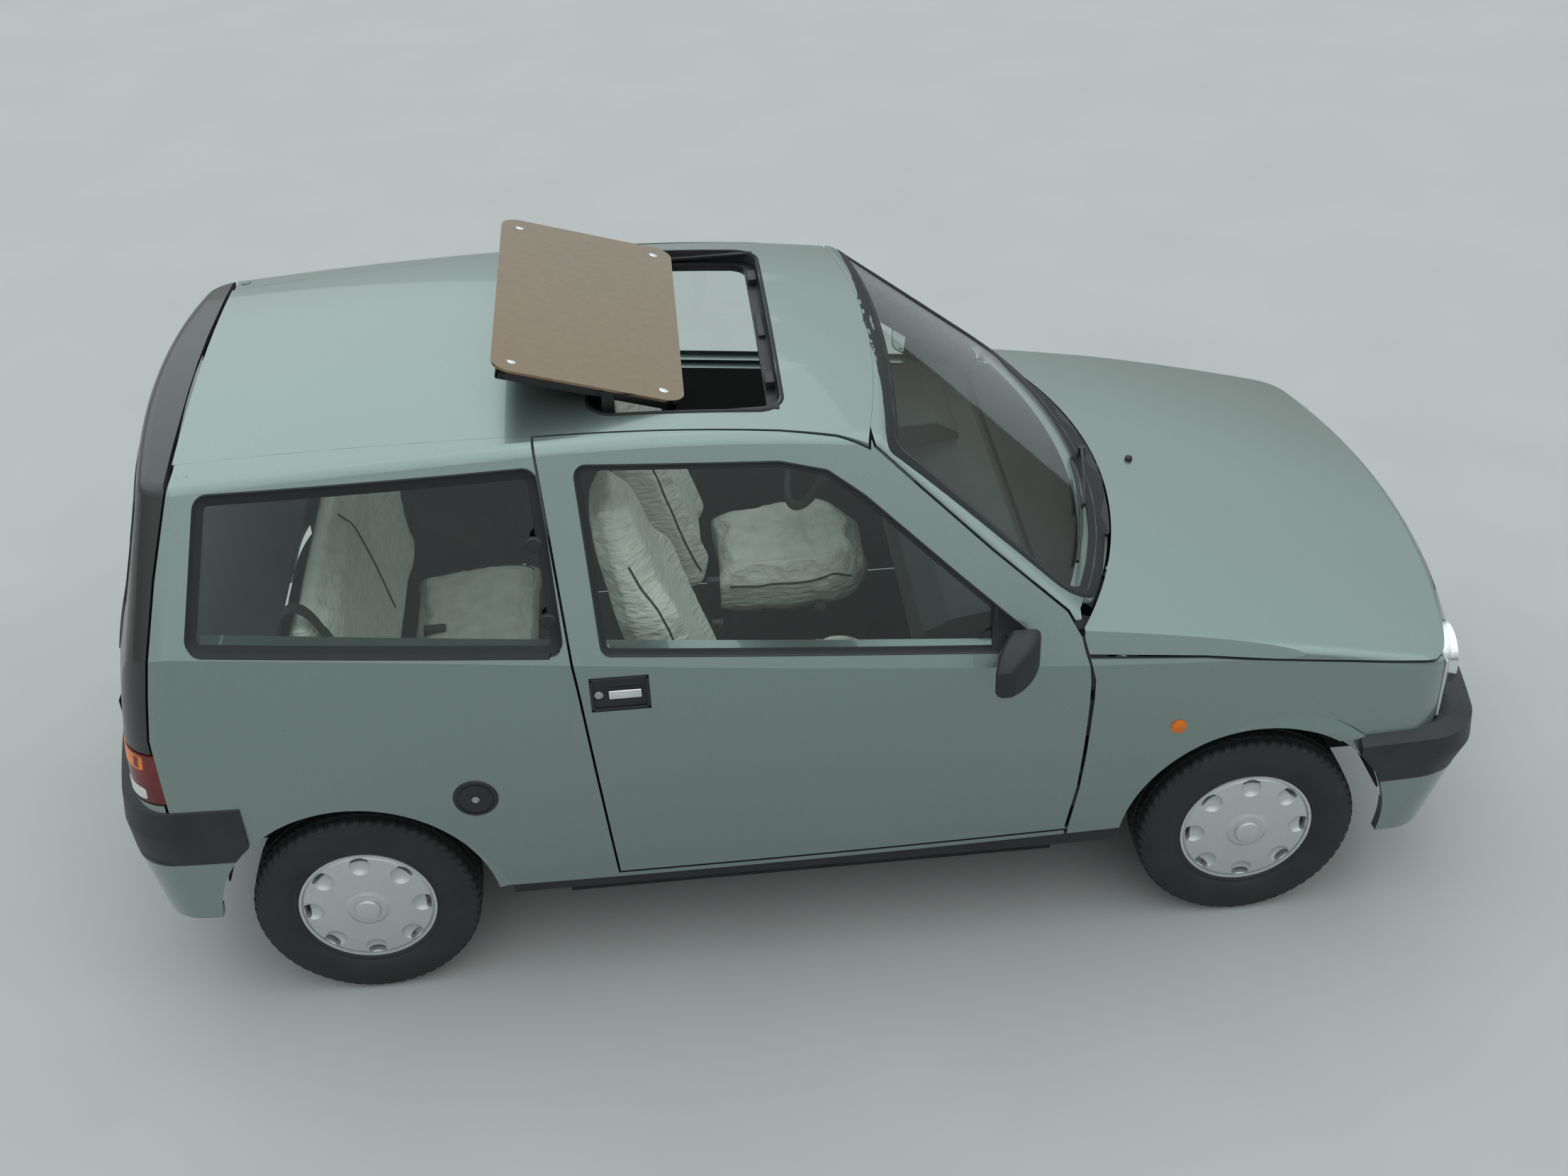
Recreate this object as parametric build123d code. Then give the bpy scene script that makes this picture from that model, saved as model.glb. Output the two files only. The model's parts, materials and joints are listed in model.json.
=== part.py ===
from build123d import *
import math
import os

# A small three-door hatchback of about 1990 with an open glass roof panel. Millimetres, +X to the front,
# +Y to the car's left, +Z up. The ground is z = 0 and the origin is midway between bumpers and sides.

# Driving dimensions of the whole car
ROOF_HEIGHT = 1438
WHEELBASE = 2159
FRONT_AXLE_X = 1062
REAR_AXLE_X = FRONT_AXLE_X - WHEELBASE
TYRE_RADIUS = 272
TRACK_HALF = 640

# Body form: clearances and wall depths
GAP = 6
SIDE_DEPTH = 85
FRAME_DEPTH = 45
ROOF_DEPTH = 26
WING_DEPTH = 9
GLASS_THICK = 5
GLASS_INSET = 6
SEAT_CLEAR = 0.3

# Painted lower edge of the body and the top of the floor
SILL_EDGE_Z = 332
FLOOR_Z = 205
FLOOR_THICK = 12
TUNNEL_HEIGHT = 90

# Sections of the lower body, from the sill up
# height, nose x, tail x, half width amidships, corner radius
LOWER_SECTIONS = (
    (330, 1600, -1640, 742, 110),
    (640, 1626, -1656, 753, 110),
    (1100, 1556, -1574, 732, 110),
)
# Sections of the glasshouse, which is straight between them
# height, nose x, tail x, half width, x of the widest place, side arc, front and rear corner radius
UPPER_SECTIONS = (
    (800, 935, -1668, 900, -3480, 60000, 40, 120),
    (1440, 161, -1464, 509, -675, 9700, 40, 90),
)
SIDE_ARC = 31600
SIDE_WIDEST_X = -250
NOSE_ARC = 2300
SCREEN_ARC = 1900
TAIL_ARC = 2800

# Roof and bonnet crowns: highest place, radius along the car and across it
ROOF_CROWN_X = -480
ROOF_ARC_FRONT = 4600
ROOF_ARC_REAR = 12000
ROOF_ARC_Y = 4200
BONNET_REAR = (810, 930)
BONNET_FRONT = (1605, 752)
BONNET_ARC_X = 7500
BONNET_ARC_Y = 6000
BONNET_START_X = 560
ROOF_EDGE_ROUND = 40
NOSE_ROUND = 30
CAP_DEPTH = 700
SHOULDER_REACH = 1200
BELT_Z = 936
BELT_SLOPE = 0.098
LEDGE_DROP = 10
LEDGE_END_X = 640
FAR = 2400


def side_y(x, half, widest_x, arc):
    return half - (x - widest_x) ** 2 / (2 * arc)


def plan_face(nose_x, tail_x, half, widest_x, arc, nose_arc, front_round, rear_round, inset):
    """A plan outline of four arcs with rounded corners, shrunk by the inset on every side."""
    nose = nose_x - inset
    tail = tail_x + inset
    wide = half - inset
    front_x = nose
    rear_x = tail
    for step in range(6):
        front_y = side_y(front_x, wide, widest_x, arc)
        front_x = nose - front_y ** 2 / (2 * nose_arc)
        rear_y = side_y(rear_x, wide, widest_x, arc)
        rear_x = tail + rear_y ** 2 / (2 * TAIL_ARC)
    mid_x = (front_x + rear_x) / 2
    mid_y = side_y(mid_x, wide, widest_x, arc)
    corners = ((front_x, front_y), (rear_x, rear_y), (rear_x, -rear_y), (front_x, -front_y))
    middles = ((mid_x, mid_y), (tail, 0), (mid_x, -mid_y), (nose, 0))
    edges = []
    for index in range(4):
        edges.append(ThreePointArc(corners[index], middles[index], corners[(index + 1) % 4]))
    face = make_face(Curve() + edges)
    face = fillet(face.vertices().sort_by(Axis.X)[-2:], max(front_round - inset, 8))
    return fillet(face.vertices().sort_by(Axis.X)[:2], max(rear_round - inset, 8))


def lower_form(inset):
    sections = []
    for height, nose, tail, half, corner in LOWER_SECTIONS:
        face = plan_face(nose, tail, half, SIDE_WIDEST_X, SIDE_ARC, NOSE_ARC, corner, corner, inset)
        sections.append(Pos(0, 0, height) * face)
    return loft(sections)


def glasshouse(inset, lengthen=0):
    """The glasshouse, or with its nose moved forward the slope of its sides beside the bonnet."""
    sections = []
    for height, nose, tail, half, widest_x, arc, front_round, rear_round in UPPER_SECTIONS:
        far_nose = nose + lengthen
        face = plan_face(far_nose, tail, half, widest_x, arc, SCREEN_ARC, front_round, rear_round, inset)
        sections.append(Pos(0, 0, height) * face)
    return loft(sections, ruled=True)


def crown(centre_x, centre_z, top_radius, cross_arc, sweep_deg):
    """A crowned cap: an arched cross-section turned about a far axis that lies across the car."""
    half = 900
    top_z = centre_z + top_radius
    edge_z = top_z - half ** 2 / (2 * cross_arc)
    low_z = top_z - CAP_DEPTH
    arch = ThreePointArc((-half, edge_z), (0, top_z), (half, edge_z))
    rest = Polyline((half, edge_z), (half, low_z), (-half, low_z), (-half, edge_z))
    face = Plane.YZ.offset(centre_x) * make_face(Curve() + [arch, rest])
    axis = Axis((centre_x, 0, centre_z), (0, 1, 0))
    return revolve(face.rotate(axis, -sweep_deg / 2), axis, sweep_deg)


def arc_centre(rear, front, radius):
    """Centre of the arc that arches over two points of the plane along the car."""
    chord = math.hypot(front[0] - rear[0], front[1] - rear[1])
    drop = math.sqrt(radius ** 2 - (chord / 2) ** 2)
    mid_x = (rear[0] + front[0]) / 2
    mid_z = (rear[1] + front[1]) / 2
    return mid_x + (front[1] - rear[1]) / chord * drop, mid_z - (front[0] - rear[0]) / chord * drop


def block(x0, x1, y0, y1, z0, z1):
    return Pos((x0 + x1) / 2, (y0 + y1) / 2, (z0 + z1) / 2) * Box(x1 - x0, y1 - y0, z1 - z0)


def belt_z(x):
    """Height of the lower edge of the side windows, which rises to the rear."""
    return BELT_Z - BELT_SLOPE * x


def outline_face(points, radii, grow=0):
    """A flat face from corner points, with rounded corners where radii are given, grown or shrunk all round."""
    if radii is None:
        outline = Polyline(*points, close=True)
    else:
        outline = FilletPolyline(*points, radius=radii, close=True)
    face = make_face(outline)
    if grow:
        face = offset(face, grow, kind=Kind.INTERSECTION)
    return face


def side_prism(points, radii, y0, y1, grow=0):
    """A solid whose outline is seen from the side, between two planes across the car."""
    face = Plane.XZ.offset(-y0) * outline_face(points, radii, grow)
    return extrude(face, y0 - y1)


def end_prism(points, radii, x0, x1, grow=0):
    """A solid whose outline is seen from the front, between two planes along the car."""
    face = Plane.YZ.offset(x0) * outline_face(points, radii, grow)
    return extrude(face, x1 - x0)


def plan_prism(points, radii, z0, z1, grow=0):
    face = Plane.XY.offset(z0) * outline_face(points, radii, grow)
    return extrude(face, z1 - z0)


def largest(shape):
    return max(shape.solids(), key=lambda solid: solid.volume)


def mirrored(shape):
    return mirror(shape, about=Plane.XZ)


def rod(start, end, radius):
    """A round bar between two points."""
    direction = Vector(*end) - Vector(*start)
    plane = Plane(origin=start, z_dir=direction)
    return extrude(plane * Circle(radius), direction.length)


def roof_cap(inset):
    roof_front = crown(ROOF_CROWN_X, ROOF_HEIGHT - ROOF_ARC_FRONT, ROOF_ARC_FRONT - inset, ROOF_ARC_Y, 44)
    roof_rear = crown(ROOF_CROWN_X, ROOF_HEIGHT - ROOF_ARC_REAR, ROOF_ARC_REAR - inset, ROOF_ARC_Y, 18)
    cap = roof_front & block(ROOF_CROWN_X, FAR, -FAR, FAR, 0, FAR)
    return cap + (roof_rear & block(-FAR, ROOF_CROWN_X, -FAR, FAR, 0, FAR))


def under_block():
    return block(-FAR, FAR, -FAR, FAR, 0, UPPER_SECTIONS[0][0])


def cabin_form(side, frame, roof, rounded, belt_ledge):
    """The closed form of the cabin and everything under it, shrunk by a depth for each kind of wall."""
    low = lower_form(side)
    upper = glasshouse(frame) & roof_cap(roof)
    if rounded:
        upper = fillet([e for e in upper.edges() if e.center().Z > 1320], ROOF_EDGE_ROUND)
    if belt_ledge:
        ledge = ((-FAR, belt_z(-FAR) - LEDGE_DROP), (LEDGE_END_X, belt_z(LEDGE_END_X) - LEDGE_DROP),
                 (LEDGE_END_X, FAR), (-FAR, FAR))
        above = side_prism(ledge, None, -FAR, FAR)
    else:
        above = block(-FAR, FAR, -FAR, FAR, LOWER_SECTIONS[-1][0], ROOF_HEIGHT + 50)
    return (low + above) & (upper + under_block())


def front_form(inset):
    """The form ahead of the cabin, under the bonnet's crown."""
    centre_x, centre_z = arc_centre(BONNET_REAR, BONNET_FRONT, BONNET_ARC_X)
    bonnet_cap = crown(centre_x, centre_z, BONNET_ARC_X - inset, BONNET_ARC_Y, 32)
    shoulders = glasshouse(inset, SHOULDER_REACH) + under_block()
    front = lower_form(inset) & bonnet_cap & shoulders & block(BONNET_START_X, FAR, -FAR, FAR, 0, ROOF_HEIGHT)
    edges = [e for e in front.edges() if e.center().Z > 700 and e.center().X > 1500 and e.length > 600]
    return fillet(edges, NOSE_ROUND - inset)



# Doors: outline seen from the side, from the front lower corner round by the front shut line
DOOR_BOTTOM_Z = 350
DOOR_OUTLINE = (
    (599, DOOR_BOTTOM_Z), (621, 485), (632, 595), (642, 752), (642, 802), (618, 903), (586, 961), (421, 1104),
    (268, 1245), (168, 1339), (120, 1500), (-590, 1500), (-576, 1406), (-535, 989), (-524, 881), (-480, DOOR_BOTTOM_Z),
)
DOOR_INNER_OUTLINE = (
    (560, 372), (596, 485), (606, 752), (600, 880), (560, 955), (400, 1096),
    (248, 1236), (148, 1330), (100, 1500), (-574, 1500), (-560, 1406), (-519, 989), (-508, 881), (-466, 372),
)
DOOR_SKIN = 14
# height and clearance radius round the hinge line, from the sill to the bonnet
DOOR_SWING_ROOM = (
    (320, 90), (350, 86), (485, 66), (610, 58), (740, 52), (802, 51), (860, 55), (900, 60), (980, 60),
)
DOOR_HINGE_X = 678
DOOR_HINGE_Y = 708
HINGE_HEIGHTS = (440, 700)
BARREL_RADIUS = 9
PIN_RADIUS = 4
PIN_CLEAR = 0.3
HINGE_POCKET_Y = 734
HINGE_POCKET_HALF = 22
DOOR_ARM_REACH = 78
DOOR_ARM_DROP = 51
DOOR_ARM_RISE = -18
ARM_THICK = 10
BARREL_LENGTH = 30
EAR_LENGTH = 8
EAR_GAP = 0.5

# Door handle: plate and finger well let into the skin as x and z ranges, and the bar across the well
HANDLE_PLATE = (-504, -369, 839, 930)
HANDLE_WELL = (-472, -380, 862, 910)
HANDLE_FACE_Y = 744.5
HANDLE_PLATE_DEPTH = 3
HANDLE_WELL_DEPTH = 24
HANDLE_BAR = 15

# Window openings seen from the side
DOOR_WINDOW = ((-467, 982), (-495, 1362), (-44, 1330), (60, 1303), (140, 1245), (343, 1062), (545, 885))
SAIL_OUTLINE = ((420, 890), (420, 1010), (560, 880))
QUARTER_WINDOW = ((-579, 1362), (-554, 988), (-1365, 1058), (-1312, 1353))
WINDOW_ROUND = 22
# Windscreen opening seen from the front: half width and height below and above, drop of each arc
SCREEN_LOW = (640, 958, 20)
SCREEN_HIGH = (505, 1335, 33)
SCREEN_ROUND = 40
# Where the ring round the windscreen leaves room for the bonnet: from x on, outside a half width, up to a height
RING_CORNER_ROOM = ((500, 600, 942), (618, 626, 960))

# Roof seams seen from above
ROOF_SEAM = ((-1371, 441), (-576, 484), (-38, 498), (87, 507), (175, 524))
ROOF_FRONT_X = 214
ROOF_FRONT_ARC = 2315
ROOF_REAR_X = -1371
SEAM = 0.5

# Crease along the wing that the bonnet shuts on, and the bonnet's rear edge seen from above
CREASE = ((600, 872), (903, 835), (1249, 781), (1497, 738))
BONNET_REAR_EDGE = ((626, 690), (706, 568), (781, 345), (811, 0))
BONNET_NOSE_Z = 742
LAMP_REAR_X = 1500

# Wheel arches
ARCH_RADIUS = 332
ARCH_LIFT = 4
LINER_THICK = 5
LIP_RISE = 9
LIP_WIDTH = 44
FRONT_ARCH_SIDE_Y = 721
REAR_ARCH_SIDE_Y = 736
TUB_WALL_Y = 405
HOUSE_WALL_Y = 482

# Bumpers and the painted valances below them: height, length of nose or tail, half width
FRONT_BAND = ((412, 1670, 776), (470, 1696, 781), (528, 1692, 776), (552, 1660, 745))
FRONT_SKIRT = ((225, 1608, 745), (411.5, 1662, 770))
REAR_BAND = ((478, -1690, 758), (560, -1696, 760), (632, -1686, 756), (652, -1662, 742))
REAR_SKIRT = ((300, -1652, 749), (477.5, -1684, 757))
BUMPER_ROUND = 150
VALANCE_ROUND = 112
BUMPER_ARC = 2900
BUMPER_THICK = 26
BUMPER_FLANGE = 10
BUMPER_FRONT_END_X = 1392
BUMPER_REAR_END_X = -1410

# Tailgate: side seam seen from the side, from the roof down
TAIL_SEAM = ((-1371, 1500), (-1371, 1381), (-1379, 1359), (-1422, 1201), (-1474, 953), (-1495, 841), (-1495, 660))
TAILGATE_LOW_Z = 662
TAIL_LAMP_HALF = 562
TAIL_LAMP_TOP_Z = 798
TAIL_GLASS = ((-560, 962), (-470, 1318), (470, 1318), (560, 962))
TAIL_HINGE_X = -1349
TAIL_HINGE_Z = 1376
TAIL_HINGE_Y = 310
TAIL_POCKET_HALF = 22
TAIL_ARM_REACH = 62
TAIL_ARM_DROP = 34
TAIL_ARM_WIDTH = 14
TAIL_SWING_ROOM = ((0, 44), (140, 42), (300, 36), (450, 31), (560, 30))

LOUVRE_COUNT = 8
LOUVRE_START_Y = -250
LOUVRE_PITCH = 17
LOUVRE_WIDTH = 6
LOUVRE_X = (746, 766)

BONNET_HINGE_X = 612
BONNET_HINGE_Z = 922
BONNET_HINGE_Y = 598
BONNET_ARM_REACH = 100
BONNET_ARM_DROP = 84
BONNET_ARM_RISE = -12
BONNET_ARM_WIDTH = 14


def door_zone(points, grow=0):
    return side_prism(points, None, -FAR, -300, grow)


def plan_arc_zone(x_at_middle, arc, z0, z1):
    """Everything behind an arc seen from above, between two heights."""
    half = 800
    sag = half ** 2 / (2 * arc)
    front = ThreePointArc((x_at_middle - sag, half), (x_at_middle, 0), (x_at_middle - sag, -half))
    rest = Polyline((x_at_middle - sag, -half), (-FAR, -half), (-FAR, half), (x_at_middle - sag, half))
    return extrude(Plane.XY.offset(z0) * make_face(Curve() + [front, rest]), z1 - z0)


def roof_plan_zone(shift):
    """The roof between its seams, grown or shrunk sideways."""
    right = []
    left = []
    for x, half in ROOF_SEAM:
        right.append((x, -half - shift))
        left.append((x, half + shift))
    outline = tuple(right) + ((400, -ROOF_SEAM[-1][1] - shift), (400, ROOF_SEAM[-1][1] + shift)) + tuple(reversed(left))
    return plan_prism(outline, None, 1150, 1600) & plan_arc_zone(ROOF_FRONT_X + shift, ROOF_FRONT_ARC, 1100, 1650)


def bonnet_rear_zone(shift):
    """Everything ahead of the bonnet's rear edge, seen from above."""
    points = [(x + shift, -half) for x, half in BONNET_REAR_EDGE]
    points += [(x + shift, half) for x, half in reversed(BONNET_REAR_EDGE[:-1])]
    rear = ThreePointArc(points[0], points[3], points[-1])
    ends = Polyline(points[-1], (points[-1][0] - 20, 900), (FAR, 900), (FAR, -900), (points[0][0] - 20, -900), points[0])
    return extrude(Plane.XY.offset(600) * make_face(Curve() + [rear, ends]), 500)


def screen_face(grow):
    """The windscreen's outline seen from the front, between two arcs."""
    low_half, low_z, low_drop = SCREEN_LOW
    high_half, high_z, high_rise = SCREEN_HIGH
    low = ThreePointArc((-low_half, low_z), (0, low_z - low_drop), (low_half, low_z))
    high = ThreePointArc((high_half, high_z), (0, high_z + high_rise), (-high_half, high_z))
    sides = [Line((low_half, low_z), (high_half, high_z)), Line((-high_half, high_z), (-low_half, low_z))]
    face = make_face(Curve() + [low, sides[0], high, sides[1]])
    face = fillet(face.vertices(), SCREEN_ROUND)
    if grow:
        face = offset(face, grow)
    return face


def screen_prism(grow):
    """The windscreen's opening, limited to what lies ahead of the screen's corners."""
    prism = extrude(Plane.YZ * screen_face(grow), 1200)
    ahead = ((167, 1345), (602, 950), (602, 800), (FAR, 800), (FAR, 1500), (100, 1500), (100, 1406))
    return prism & side_prism(ahead, None, -FAR, FAR)


def wheel_void(x, radius, y0, y1):
    """A round space across the car about one wheel's centre."""
    return Pos(x, y0, TYRE_RADIUS + ARCH_LIFT) * Rot(-90, 0, 0) * extrude(Circle(radius), y1 - y0)


def arch_lip(x, side_y):
    """A flare that rises out of the body side towards the edge of a right wheel arch."""
    flare = Cone(ARCH_RADIUS + LIP_WIDTH, ARCH_RADIUS + 2, LIP_RISE + 3)
    flare = Pos(x, -side_y - (LIP_RISE + 3) / 2 + 3, TYRE_RADIUS + ARCH_LIFT) * Rot(90, 0, 0) * flare
    shell = lower_form(-LIP_RISE) - lower_form(WING_DEPTH / 2)
    lip = (flare & shell) - wheel_void(x, ARCH_RADIUS, -FAR, FAR)
    lip -= block(-FAR, FAR, -FAR, FAR, 0, SILL_EDGE_Z + 2)
    bands = bumper_form(FRONT_BAND, True, -GAP) if x > 0 else bumper_form(REAR_BAND, False, -GAP)
    return largest(lip - bands)


def bumper_form(sections, front, inset):
    faces = []
    corner = VALANCE_ROUND if len(sections) == 2 else BUMPER_ROUND
    for height, reach, half in sections:
        nose = reach if front else 1500
        tail = -1500 if front else reach
        face = plan_face(nose, tail, half, SIDE_WIDEST_X, SIDE_ARC, BUMPER_ARC, corner, corner, inset)
        faces.append(Pos(0, 0, height) * face)
    return loft(faces, ruled=True)


def bumper(sections, front):
    """A bumper or valance: the band's form less the same form shrunk, cut off at the wheel arch."""
    void_top = sections[-1][0] - BUMPER_FLANGE
    void = bumper_form(sections, front, BUMPER_THICK) & block(-FAR, FAR, -FAR, FAR, 0, void_top)
    form = bumper_form(sections, front, 0) - void
    if front:
        piece = form & block(BUMPER_FRONT_END_X - 80, FAR, -FAR, FAR, 0, FAR)
        piece -= wheel_void(FRONT_AXLE_X, ARCH_RADIUS + LINER_THICK + SEAM, -FAR, FAR)
    else:
        piece = form & block(-FAR, BUMPER_REAR_END_X + 80, -FAR, FAR, 0, FAR)
        piece -= wheel_void(REAR_AXLE_X, ARCH_RADIUS + LINER_THICK + SEAM, -FAR, FAR)
    return largest(piece)


def swing_room(table, centre, axis):
    """A turned solid whose radius follows a table of places along its axis, both ways from the middle if short."""
    points = [(0, table[0][0])]
    for place, radius in table:
        points.append((radius, place))
    points.append((0, table[-1][0]))
    profile = make_face(Polyline(*points, close=True))
    if axis == "up":
        return Pos(centre[0], centre[1], 0) * revolve(Plane.XZ * profile, Axis.Z)
    half = Rot(-90, 0, 0) * revolve(Plane.XZ * profile, Axis.Z)
    whole = half + mirror(half, about=Plane.XZ)
    return Pos(centre[0], 0, centre[1]) * whole


def gooseneck(reach, drop, rise, thickness):
    """A cranked hinge arm: round its pin, down clear of the gap, along and up to the panel."""
    half = ARM_THICK / 2
    arm = Pos(0, -drop / 2) * Rectangle(2 * half, drop + 2 * half)
    arm += Pos(-reach / 2, -drop) * Rectangle(reach + 2 * half, 2 * half)
    arm += Pos(-reach, (rise - drop) / 2) * Rectangle(2 * half, rise + drop)
    arm += Circle(BARREL_RADIUS)
    arm -= Circle(PIN_RADIUS + PIN_CLEAR)
    return extrude(arm, thickness)


# Sunroof: the opening seen from above and the raised glass panel
SUNROOF_FRONT_X = -25
SUNROOF_LENGTH = 430
SUNROOF_HALF = 423
SUNROOF_ROUND = 60
SUNROOF_TILT = 16.8
SUNROOF_GLASS_FRONT = (-241, 1417)
SUNROOF_GLASS_LENGTH = 436
SUNROOF_GLASS_HALF = 408
SUNROOF_FRAME_WIDTH = 28
SUNROOF_FRAME_DEPTH = 18

# Wheel and tyre sections, as radius and distance from the wheel's middle plane
TYRE_OUTER = ((165, -62), (178, -70), (215, -77.5), (245, -74), (266, -62), (272, -48))
TYRE_BORE = 165
TYRE_SIDES = 60
RIM_OUTER = 164.7
RIM_WALL = 7
HUB_BORE = 20
HUB_CLEAR = 0.05
COVER_FACE = 72
NOTCH_COUNT = 8
WINDOW_CENTRE = 145
WINDOW_LENGTH = 44
WINDOW_WIDTH = 13
SCOOP_RADIUS = 34
SCOOP_INWARD = 12
SCOOP_LIFT = 16

KINGPIN_Y = 580
STRUT_Y = 533
STRUT_RADIUS = 18

# Seats, seen from the side
SEAT_Y = 337
SEAT_WIDTH = 450
SEAT_PROFILE = (
    (-190, 425), (250, 455), (292, 500), (288, 545), (250, 566), (60, 545), (-120, 535), (-185, 560), (-235, 640),
    (-330, 900), (-395, 1110), (-418, 1205), (-450, 1222), (-486, 1205), (-492, 1150), (-420, 850), (-330, 560),
    (-260, 430),
)
SEAT_ROUND = 14
BENCH_PROFILE = (
    (-640, 342.3), (-640, 470), (-665, 500), (-700, 508), (-950, 480), (-1000, 500), (-1040, 620), (-1120, 960),
    (-1135, 1010), (-1160, 1022), (-1195, 1010), (-1200, 960), (-1120, 620), (-1085, 342.3),
)
BENCH_HALF = 474
BENCH_WIDE_HALF = 590
BENCH_WIDE_Z = 640

DASH_PROFILE = (
    (574.7, 560), (574.7, 890), (545, 925), (470, 935), (330, 912), (268, 880), (250, 840), (262, 760), (330, 700),
    (340, 600), (390, 560),
)
DASH_HALF = 606
BINNACLE_PROFILE = ((480, 900), (480, 950), (420, 985), (330, 982), (262, 955), (258, 900))
WHEEL_CENTRE = (118, 345, 848)
WHEEL_TILT = 28
WHEEL_RIM_RADIUS = 178
WHEEL_RIM_THICK = 13

BULKHEAD_X = 575
BULKHEAD_TOP_Z = 896
PANEL_THICK = 12
RAIL_Y = (330, 388)
RAIL_Z = (236, 300)
FRONT_PANEL_X = 1470
HEEL_X = -600
REAR_FLOOR_Z = 330
ROCKER_Y = (642, 722)
ROCKER_Z = (200, 331.5)
# What is cut off below the rocker's painted edge, as y and z of its section
ROCKER_TUCK = ((-760, 327), (-620, 197), (-620, 150), (-760, 150))
EXHAUST_RADIUS = 20
EXHAUST_ROUTE = (
    (700, 0, 245), (-470, 0, 245), (-610, 0, 188), (-900, 0, 188), (-1180, 170, 255), (-1260, 180, 262),
    (-1500, 180, 262), (-1660, 180, 235),
)
SILENCER_X = (-1250, -1500)
SILENCER_YZ = (180, 262)
SILENCER_RADIUS = 58
ENGINE_BLOCK = (1130, 1430, -329.7, 329.7, 240, 690)

# Wiper: its pivot, and its blade's ends as distance across the car and height on the glass
WIPER_PIVOT = (779, 40, 936)
WIPER_BLADE = ((-40, 968), (-520, 985))
WIPER_BLADE_PARTS = 4
WIPER_RADIUS = 4.5
WIPER_BOSS = 9

FUEL_CAP = (-792, 619)
FUEL_CAP_RADIUS = 52
FUEL_CAP_SEAT_Y = 741
FUEL_CAP_THICK = 10
FUEL_LOCK_RADIUS = 8
# Mirror housing: distance out, centre x and z, length, height and corner radius of each section
MIRROR_SECTIONS = (
    (752, 474, 928, 74, 90, 18),
    (800, 452, 916, 84, 108, 24),
    (850, 414, 893, 46, 68, 18),
)


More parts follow.
